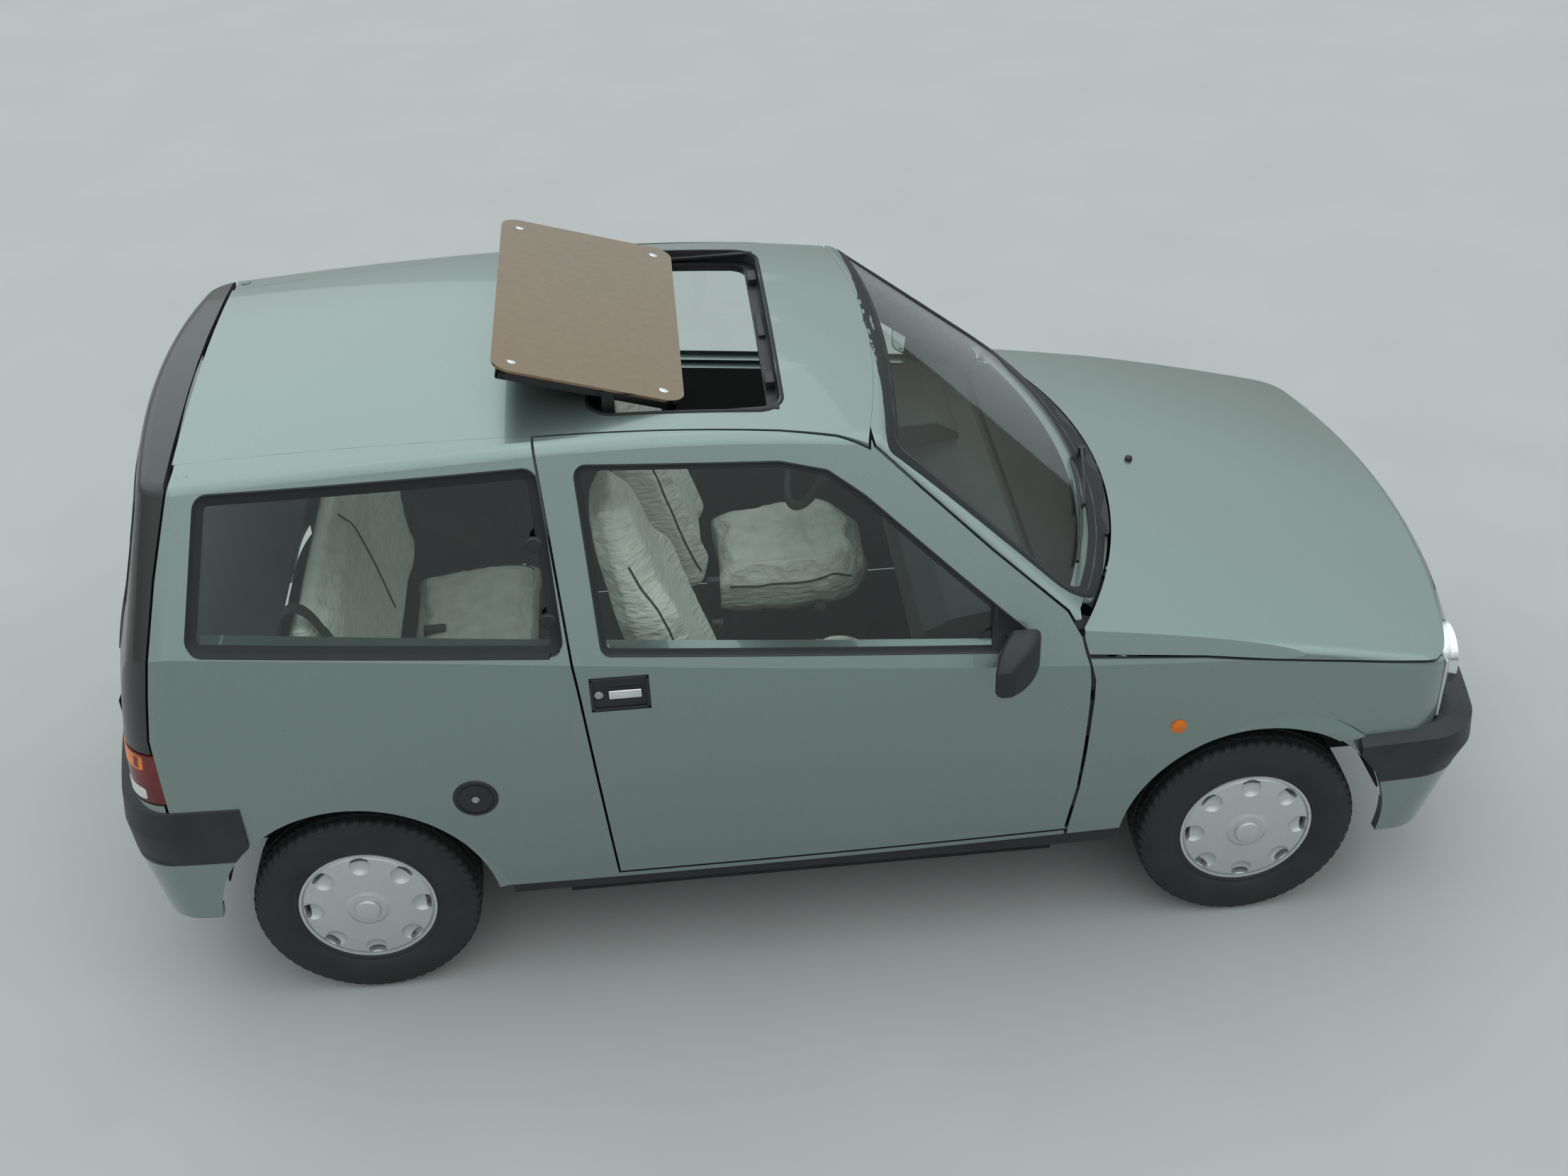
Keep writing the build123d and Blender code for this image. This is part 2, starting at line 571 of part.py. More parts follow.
def body_nodes(nodes):
    """Doors, sides, roof, windscreen, wings, bonnet, tailgate, lamps, grille and bumpers."""
    outer = cabin_form(0, 0, 0, True, False)
    hollow = cabin_form(SIDE_DEPTH, FRAME_DEPTH, ROOF_DEPTH, False, True)
    core = cabin_form(DOOR_SKIN, DOOR_SKIN, DOOR_SKIN, False, False)
    wall = outer - hollow
    front_outer = front_form(0)
    front_inner = front_form(WING_DEPTH)
    front_wall = front_outer - front_inner
    right = block(-FAR, FAR, -FAR, -60, 0, FAR)

    # Doors
    hinge_room = swing_room(DOOR_SWING_ROOM, (DOOR_HINGE_X, -DOOR_HINGE_Y), "up")
    skin = (outer - core) & door_zone(DOOR_OUTLINE)
    lining = (core - hollow) & door_zone(DOOR_INNER_OUTLINE)
    door = (skin + lining) - roof_plan_zone(GAP) - hinge_room
    window_prism = side_prism(DOOR_WINDOW, WINDOW_ROUND, -FAR, -300)
    door = largest(door - window_prism)
    pane_shell = glasshouse(GLASS_INSET) - glasshouse(GLASS_INSET + GLASS_THICK)
    door_pane = pane_shell & side_prism(DOOR_WINDOW, WINDOW_ROUND, -FAR, -300, -SEAT_CLEAR)
    nodes["door_glass_right"] = largest(door_pane - side_prism(SAIL_OUTLINE, None, -FAR, -300, SEAT_CLEAR))
    for height in HINGE_HEIGHTS:
        low = height - BARREL_LENGTH / 2
        arm = gooseneck(DOOR_ARM_REACH, DOOR_ARM_DROP, DOOR_ARM_RISE, BARREL_LENGTH)
        arm = Pos(DOOR_HINGE_X, -DOOR_HINGE_Y, low) * mirror(arm, about=Plane.XZ)
        foot_x = DOOR_HINGE_X - DOOR_ARM_REACH + ARM_THICK / 2
        foot_y = DOOR_HINGE_Y - DOOR_ARM_DROP - ARM_THICK
        arm += block(foot_x - 33, foot_x, -700, -foot_y, low, low + BARREL_LENGTH)
        door += arm
    handle_x0, handle_x1, handle_z0, handle_z1 = HANDLE_PLATE
    face_y = HANDLE_FACE_Y
    door -= block(handle_x0, handle_x1, -FAR, -face_y + HANDLE_PLATE_DEPTH, handle_z0, handle_z1)
    well_x0, well_x1, well_z0, well_z1 = HANDLE_WELL
    door -= block(well_x0, well_x1, -FAR, -face_y + HANDLE_WELL_DEPTH, well_z0, well_z1)
    bar_z = (well_z0 + well_z1) / 2
    bar_y = -face_y + HANDLE_PLATE_DEPTH
    door += block(well_x0 - 1, well_x1 + 1, bar_y, bar_y + 8, bar_z - HANDLE_BAR / 2, bar_z + HANDLE_BAR / 2)
    nodes["door_right"] = largest(door)

    # Fixed sides behind the doors
    tail_points = TAIL_SEAM + ((-FAR, 660), (-FAR, 1500))
    side = wall & right
    side -= roof_plan_zone(SEAM)
    side -= door_zone(DOOR_OUTLINE, GAP)
    side -= side_prism(tail_points, None, -FAR, FAR, GAP)
    side -= block(722, FAR, -FAR, FAR, 0, FAR)
    side -= block(560, FAR, -FAR, FAR, 850, FAR)
    side -= block(600, 696, -FAR, FAR, DOOR_BOTTOM_Z - GAP, FAR)
    side -= (outer - core) & block(596, FAR, -FAR, FAR, 0, FAR)
    side -= block(-FAR, FAR, -FAR, FAR, 0, SILL_EDGE_Z)
    side -= wheel_void(REAR_AXLE_X, ARCH_RADIUS, -FAR, FAR)
    side -= block(-FAR, REAR_AXLE_X - 250, -FAR, FAR, 0, 540)
    side -= block(-FAR, TAIL_SEAM[-1][0] + GAP, -FAR, FAR, 0, 800)
    side += arch_lip(REAR_AXLE_X, REAR_ARCH_SIDE_Y)
    side -= side_prism(QUARTER_WINDOW, WINDOW_ROUND, -FAR, -300)
    side = largest(side)
    post_x = 697
    for height in HINGE_HEIGHTS:
        low = height - BARREL_LENGTH / 2
        high = height + BARREL_LENGTH / 2
        for base in (low - EAR_GAP - EAR_LENGTH, high + EAR_GAP):
            ear = block(DOOR_HINGE_X, post_x + 4, -DOOR_HINGE_Y - 8, -DOOR_HINGE_Y + 8, base, base + EAR_LENGTH)
            side += ear + Pos(DOOR_HINGE_X, -DOOR_HINGE_Y, base) * extrude(Circle(8), EAR_LENGTH)
        pin = extrude(Circle(PIN_RADIUS), high - low + 2 * EAR_GAP + 2)
        side += Pos(DOOR_HINGE_X, -DOOR_HINGE_Y, low - EAR_GAP - 1) * pin
    nodes["side_panel_right"] = largest(side)
    quarter = pane_shell & side_prism(QUARTER_WINDOW, WINDOW_ROUND, -FAR, -300, -SEAT_CLEAR)
    nodes["quarter_window_right"] = largest(quarter)

    # Roof with its opening, and the ring that carries the windscreen
    hole = plan_prism(
        ((SUNROOF_FRONT_X, -SUNROOF_HALF), (SUNROOF_FRONT_X, SUNROOF_HALF),
         (SUNROOF_FRONT_X - SUNROOF_LENGTH, SUNROOF_HALF), (SUNROOF_FRONT_X - SUNROOF_LENGTH, -SUNROOF_HALF)),
        SUNROOF_ROUND, 1300, 1500)
    roof = wall & roof_plan_zone(0) & block(ROOF_REAR_X, FAR, -FAR, FAR, 1200, FAR)
    roof -= hole
    for sign in (-1, 1):
        low_y = sign * TAIL_HINGE_Y - TAIL_POCKET_HALF
        high_y = sign * TAIL_HINGE_Y + TAIL_POCKET_HALF
        roof -= block(ROOF_REAR_X - 1, TAIL_HINGE_X + 16, low_y, high_y, 1300, TAIL_HINGE_Z + 11)
        roof += rod((TAIL_HINGE_X, low_y - 1, TAIL_HINGE_Z), (TAIL_HINGE_X, high_y + 1, TAIL_HINGE_Z), PIN_RADIUS)
    roof = largest(roof)
    nodes["roof_panel"] = roof
    ring = wall & block(90, FAR, -FAR, FAR, 908, FAR)
    ring -= roof_plan_zone(SEAM)
    ring -= door_zone(DOOR_OUTLINE, GAP)
    ring -= mirrored(door_zone(DOOR_OUTLINE, GAP))
    ring -= screen_prism(0)
    ring -= bonnet_rear_zone(-8)
    for x0, y0, top_z in RING_CORNER_ROOM:
        corner = block(x0, FAR, -FAR, -y0, 0, top_z)
        ring -= corner + mirrored(corner)
    nodes["windscreen_frame"] = largest(ring)
    screen = pane_shell & screen_prism(-SEAT_CLEAR)
    nodes["windscreen"] = largest(screen)

    # Wings, bonnet and scuttle
    under_crease = ((560, 866), (903, 829), (1249, 775), (1497, 732), (LAMP_REAR_X - SEAM, 732), (LAMP_REAR_X - SEAM, SILL_EDGE_Z), (560, SILL_EDGE_Z))
    wing = front_wall & side_prism(under_crease, None, -FAR, -300)
    wing -= door_zone(DOOR_OUTLINE, GAP)
    wing -= door_zone(((560, 300), (605, 300), (605, 360), (560, 360)))
    wing -= wheel_void(FRONT_AXLE_X, ARCH_RADIUS, -FAR, FAR)
    wing -= block(FRONT_AXLE_X + 250, FAR, -FAR, FAR, 0, 470)
    wing += arch_lip(FRONT_AXLE_X, FRONT_ARCH_SIDE_Y)
    for height in HINGE_HEIGHTS:
        wing -= block(590, 645, -HINGE_POCKET_Y, -650, height - HINGE_POCKET_HALF, height + HINGE_POCKET_HALF)
    nodes["wing_right"] = largest(wing)

    above_crease = CREASE + ((FAR, BONNET_NOSE_Z), (FAR, FAR), (560, FAR))
    lid = front_wall & side_prism(above_crease, None, -FAR, FAR) & bonnet_rear_zone(0)
    lid -= door_zone(DOOR_OUTLINE, GAP) + mirrored(door_zone(DOOR_OUTLINE, GAP))
    lid -= block(-FAR, FAR, -FAR, FAR, 0, BONNET_NOSE_Z) & block(1400, FAR, -FAR, FAR, 0, FAR)
    lid = largest(lid)
    for sign in (-1, 1):
        arm = gooseneck(BONNET_ARM_REACH, BONNET_ARM_DROP, BONNET_ARM_RISE, BONNET_ARM_WIDTH)
        arm = Rot(90, 0, 0) * mirror(arm, about=Plane.YZ)
        lid += Pos(BONNET_HINGE_X, sign * BONNET_HINGE_Y + BONNET_ARM_WIDTH / 2, BONNET_HINGE_Z) * arm
    nodes["bonnet"] = largest(lid)
    cowl = (front_wall & block(600, FAR, -FAR, FAR, 880, FAR)) - bonnet_rear_zone(-GAP)
    cowl -= glasshouse(-SEAT_CLEAR)
    for index in range(LOUVRE_COUNT):
        slot_y = LOUVRE_START_Y - index * LOUVRE_PITCH
        cowl -= block(LOUVRE_X[0], LOUVRE_X[1], slot_y, slot_y + LOUVRE_WIDTH, 800, FAR)
    nodes["scuttle_grille"] = largest(cowl)

    # Tailgate with its glass, and the lamps beside it
    gate_room = swing_room(TAIL_SWING_ROOM, (TAIL_HINGE_X, TAIL_HINGE_Z), "across")
    gate = wall & side_prism(tail_points, None, -FAR, FAR)
    gate -= block(-FAR, FAR, -FAR, FAR, 0, TAILGATE_LOW_Z)
    beside = block(-FAR, FAR, TAIL_LAMP_HALF - GAP, FAR, 0, TAIL_LAMP_TOP_Z + GAP)
    gate -= beside + mirrored(beside)
    gate -= gate_room
    gate -= end_prism(TAIL_GLASS, 40, -FAR, -1440)
    gate = largest(gate)
    for sign in (-1, 1):
        arm = Rot(90, 0, 0) * gooseneck(TAIL_ARM_REACH, TAIL_ARM_DROP, 4, TAIL_ARM_WIDTH)
        gate += Pos(TAIL_HINGE_X, sign * TAIL_HINGE_Y + TAIL_ARM_WIDTH / 2, TAIL_HINGE_Z) * arm
    nodes["tailgate"] = largest(gate)
    rear_shell = pane_shell & block(-FAR, -1440, -FAR, FAR, 900, 1400)
    nodes["rear_glass"] = largest(rear_shell & end_prism(TAIL_GLASS, 40, -FAR, -1440, -SEAT_CLEAR))
    lamp_zone = block(-FAR, TAIL_SEAM[-1][0] + GAP - SEAM, -FAR, -TAIL_LAMP_HALF, TAILGATE_LOW_Z, TAIL_LAMP_TOP_Z)
    nodes["tail_lamp_right"] = largest(wall & lamp_zone)
    rear_panel = wall & block(-FAR, TAIL_SEAM[-1][0] + 40, -FAR, FAR, 540, TAILGATE_LOW_Z - GAP)
    rear_panel -= block(TAIL_SEAM[-1][0] - 2 * SEAM, FAR, -FAR, FAR, 0, FAR)
    nodes["rear_panel"] = largest(rear_panel)

    # Headlamps and grille
    lamp = front_outer & block(LAMP_REAR_X, FAR, -FAR, -390, 556, BONNET_NOSE_Z - 10)
    lamp &= block(-FAR, FAR, -FAR, FAR, 0, BONNET_NOSE_Z - 10)
    nodes["headlamp_right"] = largest(lamp)
    grille = front_outer & block(1500, FAR, -389.7, 389.7, 556, BONNET_NOSE_Z - GAP)
    grille -= Pos(-26, 0, 0) * (front_outer & block(1400, FAR, -FAR, FAR, 500, FAR))
    for row in range(6):
        slot_z = 580 + row * 24
        grille -= block(1400, FAR, -360, -6, slot_z, slot_z + 13)
        grille -= block(1400, FAR, 6, 360, slot_z, slot_z + 13)
    nodes["grille"] = largest(grille)

    # Bumpers and valances
    for name, sections, front in (
        ("front_bumper", FRONT_BAND, True), ("front_valance", FRONT_SKIRT, True),
        ("rear_bumper", REAR_BAND, False), ("rear_valance", REAR_SKIRT, False),
    ):
        piece = bumper(sections, front) - lower_form(-SEAT_CLEAR)
        nodes[name] = largest(piece)


# Right pieces whose left twin goes into the same node, with the node's name
PAIRED = {
    "quarter_window_right": "quarter_windows", "headlamp_right": "headlamps", "tail_lamp_right": "tail_lamps",
    "inner_wing_right": "inner_wings", "sill_right": "sills", "seat_base_right": "seat_bases",
}


def turned(points, y, sign):
    """A ring turned about a wheel's axis from a section of radius and distance along the axis."""
    profile = make_face(Polyline(*points, close=True))
    ring = revolve(Plane.XZ * profile, Axis.Z)
    return Pos(0, y, 0) * Rot(90 * sign, 0, 0) * ring


def tyre():
    """A tyre with many flat sides, lofted straight between its sections, standing on one of them."""
    section = list(TYRE_OUTER) + [(radius, -place) for radius, place in reversed(TYRE_OUTER)]
    faces = []
    for radius, place in section:
        outline = RegularPolygon(radius, TYRE_SIDES, major_radius=False)
        faces.append(Pos(0, 0, place) * outline)
    bore = Pos(0, 0, -FAR / 2) * extrude(RegularPolygon(TYRE_BORE, TYRE_SIDES, major_radius=False), FAR)
    upright = Rot(90, 0, 0) * (loft(faces, ruled=True) - bore)
    return Rot(0, 180 / TYRE_SIDES, 0) * upright


def wheel_nodes(nodes):
    """Tyres, wheels with their covers, and the two steered knuckles."""
    barrel = turned(((RIM_OUTER, -64), (RIM_OUTER, 64), (RIM_OUTER - RIM_WALL, 64), (RIM_OUTER - RIM_WALL, -64)), 0, -1)
    disc = turned(
        ((HUB_BORE + HUB_CLEAR, -4), (48, -4), (60, 38), (RIM_OUTER - 2, 38), (RIM_OUTER - 2, 56), (152, 64),
         (110, 68), (52, 70), (44, 74), (HUB_BORE + HUB_CLEAR, 75)), 0, -1)
    wheel = barrel + disc
    notch = Pos(WINDOW_CENTRE, 0) * Rot(0, 0, 90) * SlotOverall(WINDOW_LENGTH, WINDOW_WIDTH)
    cutter = Rot(90, 0, 0) * extrude(notch, 200, both=True)
    cutter += Pos(WINDOW_CENTRE - SCOOP_INWARD, COVER_FACE + SCOOP_LIFT, 0) * Sphere(SCOOP_RADIUS)
    for index in range(NOTCH_COUNT):
        wheel -= Rot(0, index * 360 / NOTCH_COUNT, 0) * cutter
    wheel = largest(wheel)
    tyre_solid = tyre()
    for name, x in (("front", FRONT_AXLE_X), ("rear", REAR_AXLE_X)):
        place = Pos(x, -TRACK_HALF, TYRE_RADIUS)
        nodes["tyre_" + name + "_right"] = place * tyre_solid
        nodes["wheel_" + name + "_right"] = place * Rot(0, 0, 180) * wheel
    carrier = turned(((0, 0), (62, 0), (62, 26), (40, 34), (HUB_BORE, 36), (HUB_BORE, 150), (0, 150)), 0, -1)
    carrier = Pos(FRONT_AXLE_X, -548, TYRE_RADIUS) * Rot(0, 0, 180) * carrier
    strut = rod((FRONT_AXLE_X, -STRUT_Y, TYRE_RADIUS + 20), (FRONT_AXLE_X, -STRUT_Y, 660), STRUT_RADIUS)
    strut += block(FRONT_AXLE_X - 22, FRONT_AXLE_X + 22, -560, -STRUT_Y, TYRE_RADIUS + 20, TYRE_RADIUS + 58)
    ball = rod((FRONT_AXLE_X, -KINGPIN_Y + 6, 180), (FRONT_AXLE_X, -KINGPIN_Y + 6, TYRE_RADIUS), 16)
    steer_arm = block(FRONT_AXLE_X - 110, FRONT_AXLE_X, -566, -546, TYRE_RADIUS - 30, TYRE_RADIUS - 12)
    nodes["knuckle_right"] = largest(carrier + strut + ball + steer_arm)


def under_nodes(nodes):
    """Floor pan with its bulkhead and rails, inner panels, suspension, engine, tank and exhaust."""
    floor = block(HEEL_X - PANEL_THICK, BULKHEAD_X + PANEL_THICK, -640, 640, FLOOR_Z, FLOOR_Z + FLOOR_THICK)
    tunnel = block(HEEL_X, BULKHEAD_X + PANEL_THICK, -80, 80, FLOOR_Z, FLOOR_Z + TUNNEL_HEIGHT)
    floor += tunnel
    floor += block(HEEL_X - PANEL_THICK, HEEL_X, -640, 640, FLOOR_Z, REAR_FLOOR_Z + FLOOR_THICK)
    floor += block(-1560, HEEL_X, -HOUSE_WALL_Y, HOUSE_WALL_Y, REAR_FLOOR_Z, REAR_FLOOR_Z + FLOOR_THICK)
    floor += block(-740, HEEL_X, -640, 640, REAR_FLOOR_Z, REAR_FLOOR_Z + FLOOR_THICK)
    floor += block(BULKHEAD_X, BULKHEAD_X + PANEL_THICK, -640, 640, FLOOR_Z, BULKHEAD_TOP_Z)
    shelf = plan_arc_zone(776, SCREEN_ARC, BULKHEAD_TOP_Z, 907.8) & block(BULKHEAD_X, FAR, -572, 572, 0, FAR)
    floor += shelf
    half_arm = BONNET_ARM_WIDTH / 2 + EAR_GAP
    for sign in (-1, 1):
        for side in (-1, 1):
            near = sign * BONNET_HINGE_Y + side * half_arm
            far = near + side * 12
            floor += block(BULKHEAD_X, BONNET_HINGE_X + 10, min(near, far), max(near, far), 870, BONNET_HINGE_Z + 9)
        ends = [sign * BONNET_HINGE_Y - half_arm - 2, sign * BONNET_HINGE_Y + half_arm + 2]
        floor += rod((BONNET_HINGE_X, ends[0], BONNET_HINGE_Z), (BONNET_HINGE_X, ends[1], BONNET_HINGE_Z), PIN_RADIUS)
    for sign in (-1, 1):
        low_y = min(sign * RAIL_Y[0], sign * RAIL_Y[1])
        high_y = max(sign * RAIL_Y[0], sign * RAIL_Y[1])
        floor += block(BULKHEAD_X, FRONT_PANEL_X + PANEL_THICK, low_y, high_y, RAIL_Z[0], RAIL_Z[1])
    floor += block(FRONT_PANEL_X, FRONT_PANEL_X + PANEL_THICK, -600, 600, 250, 720)
    floor -= block(FRONT_PANEL_X - 1, FRONT_PANEL_X + PANEL_THICK + 1, -300, 300, 420, 680)
    floor -= block(HEEL_X - PANEL_THICK - 1, BULKHEAD_X + PANEL_THICK + 1, -68, 68, FLOOR_Z - 1, FLOOR_Z + TUNNEL_HEIGHT - PANEL_THICK)
    house = wheel_void(REAR_AXLE_X, ARCH_RADIUS + LINER_THICK, -664, -HOUSE_WALL_Y)
    house -= wheel_void(REAR_AXLE_X, ARCH_RADIUS, -FAR, -HOUSE_WALL_Y - LINER_THICK)
    house -= block(-FAR, FAR, -FAR, FAR, 0, REAR_FLOOR_Z)
    house &= lower_form(SIDE_DEPTH + SEAT_CLEAR)
    floor += house + mirrored(house)
    nodes["floor_pan"] = largest(floor)

    inner = wheel_void(FRONT_AXLE_X, ARCH_RADIUS + LINER_THICK, -712, -TUB_WALL_Y)
    inner -= wheel_void(FRONT_AXLE_X, ARCH_RADIUS, -FAR, -TUB_WALL_Y - LINER_THICK)
    inner -= block(-FAR, FAR, -FAR, FAR, 0, RAIL_Z[1] + 60)
    inner += block(900, FRONT_PANEL_X - 0.3, -TUB_WALL_Y - LINER_THICK, -TUB_WALL_Y, RAIL_Z[1] + 60, 700)
    inner += block(978, 1146, -662, -TUB_WALL_Y, 600, 690)
    inner -= Pos(FRONT_AXLE_X, -KINGPIN_Y, 300) * extrude(Circle(74), 382)
    inner -= block(FRONT_PANEL_X - 0.3, FAR, -FAR, FAR, 0, FAR)
    inner &= lower_form(WING_DEPTH + SEAT_CLEAR)
    nodes["inner_wing_right"] = largest(inner)

    sill = block(-740, 725, -ROCKER_Y[1], -ROCKER_Y[0], ROCKER_Z[0], ROCKER_Z[1])
    sill -= wheel_void(FRONT_AXLE_X, ARCH_RADIUS, -FAR, 0) + wheel_void(REAR_AXLE_X, ARCH_RADIUS, -FAR, 0)
    sill -= extrude(Plane.YZ.offset(-FAR) * Polygon(*ROCKER_TUCK, align=None), 2 * FAR)
    nodes["sill_right"] = largest(sill)

    nodes["engine"] = block(*ENGINE_BLOCK)
    front = block(FRONT_AXLE_X - 60, FRONT_AXLE_X + 60, -400, 400, 196, 235.5)
    for sign in (-1, 1):
        front += rod((FRONT_AXLE_X, sign * 380, 212), (FRONT_AXLE_X, sign * 574, 160), 14)
        front += rod((FRONT_AXLE_X, sign * 574, 146), (FRONT_AXLE_X, sign * 574, 179.7), 24)
        front += rod((FRONT_AXLE_X - 170, sign * 350, 222), (FRONT_AXLE_X, sign * 540, 168), 10)
        front += block(FRONT_AXLE_X - 185, FRONT_AXLE_X - 155, min(sign * 330, sign * 385), max(sign * 330, sign * 385), 208, 235.5)
    nodes["front_suspension"] = largest(front)
    rear = rod((-800, -470, 262), (-800, 470, 262), 24)
    for sign in (-1, 1):
        rear += rod((-800, sign * 455, 262), (REAR_AXLE_X, sign * 515, TYRE_RADIUS), 24)
        rear += rod((REAR_AXLE_X, sign * 490, TYRE_RADIUS), (REAR_AXLE_X, sign * 562, TYRE_RADIUS), 46)
        rear += rod((REAR_AXLE_X, sign * 540, TYRE_RADIUS), (REAR_AXLE_X, sign * 700, TYRE_RADIUS), HUB_BORE)
        rear += rod((REAR_AXLE_X + 130, sign * 440, 250), (REAR_AXLE_X + 130, sign * 440, REAR_FLOOR_Z - 0.3), 44)
        rear += block(REAR_AXLE_X + 100, REAR_AXLE_X + 160, min(sign * 430, sign * 500), max(sign * 430, sign * 500), 244, 262)
    nodes["rear_axle"] = largest(rear)
    nodes["fuel_tank"] = block(-760, HEEL_X - 20, -380, 380, 215, REAR_FLOOR_Z - 0.3)
    pipe = rod(EXHAUST_ROUTE[0], EXHAUST_ROUTE[1], EXHAUST_RADIUS)
    for start, end in zip(EXHAUST_ROUTE[1:], EXHAUST_ROUTE[2:]):
        pipe += Pos(*start) * Sphere(EXHAUST_RADIUS) + rod(start, end, EXHAUST_RADIUS)
    silencer_front = (SILENCER_X[0], SILENCER_YZ[0], SILENCER_YZ[1])
    silencer_rear = (SILENCER_X[1], SILENCER_YZ[0], SILENCER_YZ[1])
    pipe += rod(silencer_front, silencer_rear, SILENCER_RADIUS)
    for x in (-400, 0, 400):
        pipe += block(x - 10, x + 10, -8, 8, 245, FLOOR_Z + TUNNEL_HEIGHT - PANEL_THICK - SEAT_CLEAR)
    hanger_x = (SILENCER_X[0] + SILENCER_X[1]) / 2
    hanger_y = SILENCER_YZ[0]
    pipe += block(hanger_x - 10, hanger_x + 10, hanger_y - 8, hanger_y + 8, SILENCER_YZ[1], REAR_FLOOR_Z - SEAT_CLEAR)
    nodes["exhaust"] = largest(pipe)


def screen_x(y, z):
    """How far forward the windscreen's glass stands at a place across the car and a height, a blade's radius off it."""
    low, high = UPPER_SECTIONS
    share = (z - low[0]) / (high[0] - low[0])
    return low[1] + share * (high[1] - low[1]) - y ** 2 / (2 * SCREEN_ARC) - GLASS_INSET + 2 * WIPER_RADIUS


def cabin_nodes(nodes):
    """Seats, dashboard, steering wheel, shelf, sunroof, mirrors and wiper."""
    half = SEAT_WIDTH / 2
    seat = side_prism(SEAT_PROFILE, SEAT_ROUND, -SEAT_Y - half, -SEAT_Y + half)
    nodes["front_seat_right"] = fillet(seat.faces().filter_by(Axis.Y).edges(), 10)
    base = block(-150, 230, -SEAT_Y - 170, -SEAT_Y + 170, FLOOR_Z + FLOOR_THICK, 450)
    base -= side_prism(SEAT_PROFILE, SEAT_ROUND, -FAR, FAR, SEAT_CLEAR)
    base = largest(base)
    nodes["seat_base_right"] = base
    bench = side_prism(BENCH_PROFILE, SEAT_ROUND, -BENCH_HALF, BENCH_HALF)
    wide = side_prism(BENCH_PROFILE, SEAT_ROUND, -BENCH_WIDE_HALF, BENCH_WIDE_HALF)
    bench += wide & block(-FAR, FAR, -FAR, FAR, BENCH_WIDE_Z, FAR)
    nodes["rear_seat"] = largest(bench)

    dash = side_prism(DASH_PROFILE, 12, -DASH_HALF, DASH_HALF)
    binnacle = side_prism(BINNACLE_PROFILE, 14, WHEEL_CENTRE[1] - 170, WHEEL_CENTRE[1] + 170)
    dash += binnacle
    slope = (math.cos(math.radians(WHEEL_TILT)), 0, -math.sin(math.radians(WHEEL_TILT)))
    column_end = [WHEEL_CENTRE[index] + slope[index] * 190 for index in range(3)]
    column_start = [WHEEL_CENTRE[index] + slope[index] * 46 for index in range(3)]
    dash += rod(tuple(column_start), tuple(column_end), 34)
    shaft = rod(tuple(column_start), tuple(WHEEL_CENTRE[index] + slope[index] * 16 for index in range(3)), 11)
    dash += shaft
    nodes["dashboard"] = largest(dash)
    plane = Plane(origin=WHEEL_CENTRE, z_dir=slope, x_dir=(0, 1, 0))
    rim = plane * revolve(Plane.XZ * (Pos(WHEEL_RIM_RADIUS, 0) * Circle(WHEEL_RIM_THICK)), Axis.Z)
    hub = plane * Pos(0, 0, -14) * extrude(Circle(52), 40)
    wheel = rim + hub
    for angle in (0, 180, 90):
        wheel += plane * Rot(0, 0, angle) * Pos(105, 0, 4) * Box(130, 34, 12)
    wheel -= plane * Pos(0, 0, 10) * extrude(Circle(11.05), 60)
    nodes["steering_wheel"] = largest(wheel)

    inside = lower_form(SIDE_DEPTH + SEAT_CLEAR)
    shelf = block(-FAR, -1205, -FAR, FAR, 968, 982) & inside & (Pos(GAP + 2, 0, 0) * inside)
    nodes["parcel_shelf"] = largest(shelf)

    length = SUNROOF_GLASS_LENGTH
    glass = Box(length, 2 * SUNROOF_GLASS_HALF, 6)
    glass = fillet(glass.edges().filter_by(Axis.Z), 46)
    glass = Pos(-length / 2, 0, 0) * glass
    place = Pos(SUNROOF_GLASS_FRONT[0], 0, SUNROOF_GLASS_FRONT[1]) * Rot(0, SUNROOF_TILT, 0)
    nodes["sunroof_glass"] = place * glass
    front_x = SUNROOF_FRONT_X + SUNROOF_FRAME_WIDTH
    rear_x = SUNROOF_FRONT_X - SUNROOF_LENGTH - SUNROOF_FRAME_WIDTH
    side_y1 = SUNROOF_HALF + SUNROOF_FRAME_WIDTH
    ring = plan_prism(((front_x, -side_y1), (front_x, side_y1), (rear_x, side_y1), (rear_x, -side_y1)), 80, 1300, 1500)
    low_x = SUNROOF_FRONT_X - 30
    back_x = SUNROOF_FRONT_X - SUNROOF_LENGTH + 30
    hole_y = SUNROOF_HALF - 30
    ring -= plan_prism(((low_x, -hole_y), (low_x, hole_y), (back_x, hole_y), (back_x, -hole_y)), 40, 1200, 1600)
    frame = ring & (roof_cap(ROOF_DEPTH + 0.3) - roof_cap(ROOF_DEPTH + 0.3 + SUNROOF_FRAME_DEPTH))
    frame = largest(frame)
    for sign in (-1, 1):
        arm_y = sign * 400
        frame += block(-424, -396, arm_y - 7, arm_y + 7, 1380, 1464) - Pos(0, 0, 0.3) * (
            place * (Pos(-length / 2, 0, 250 - 3.6) * Box(2000, 2000, 500)))
    nodes["sunroof_frame"] = largest(frame)

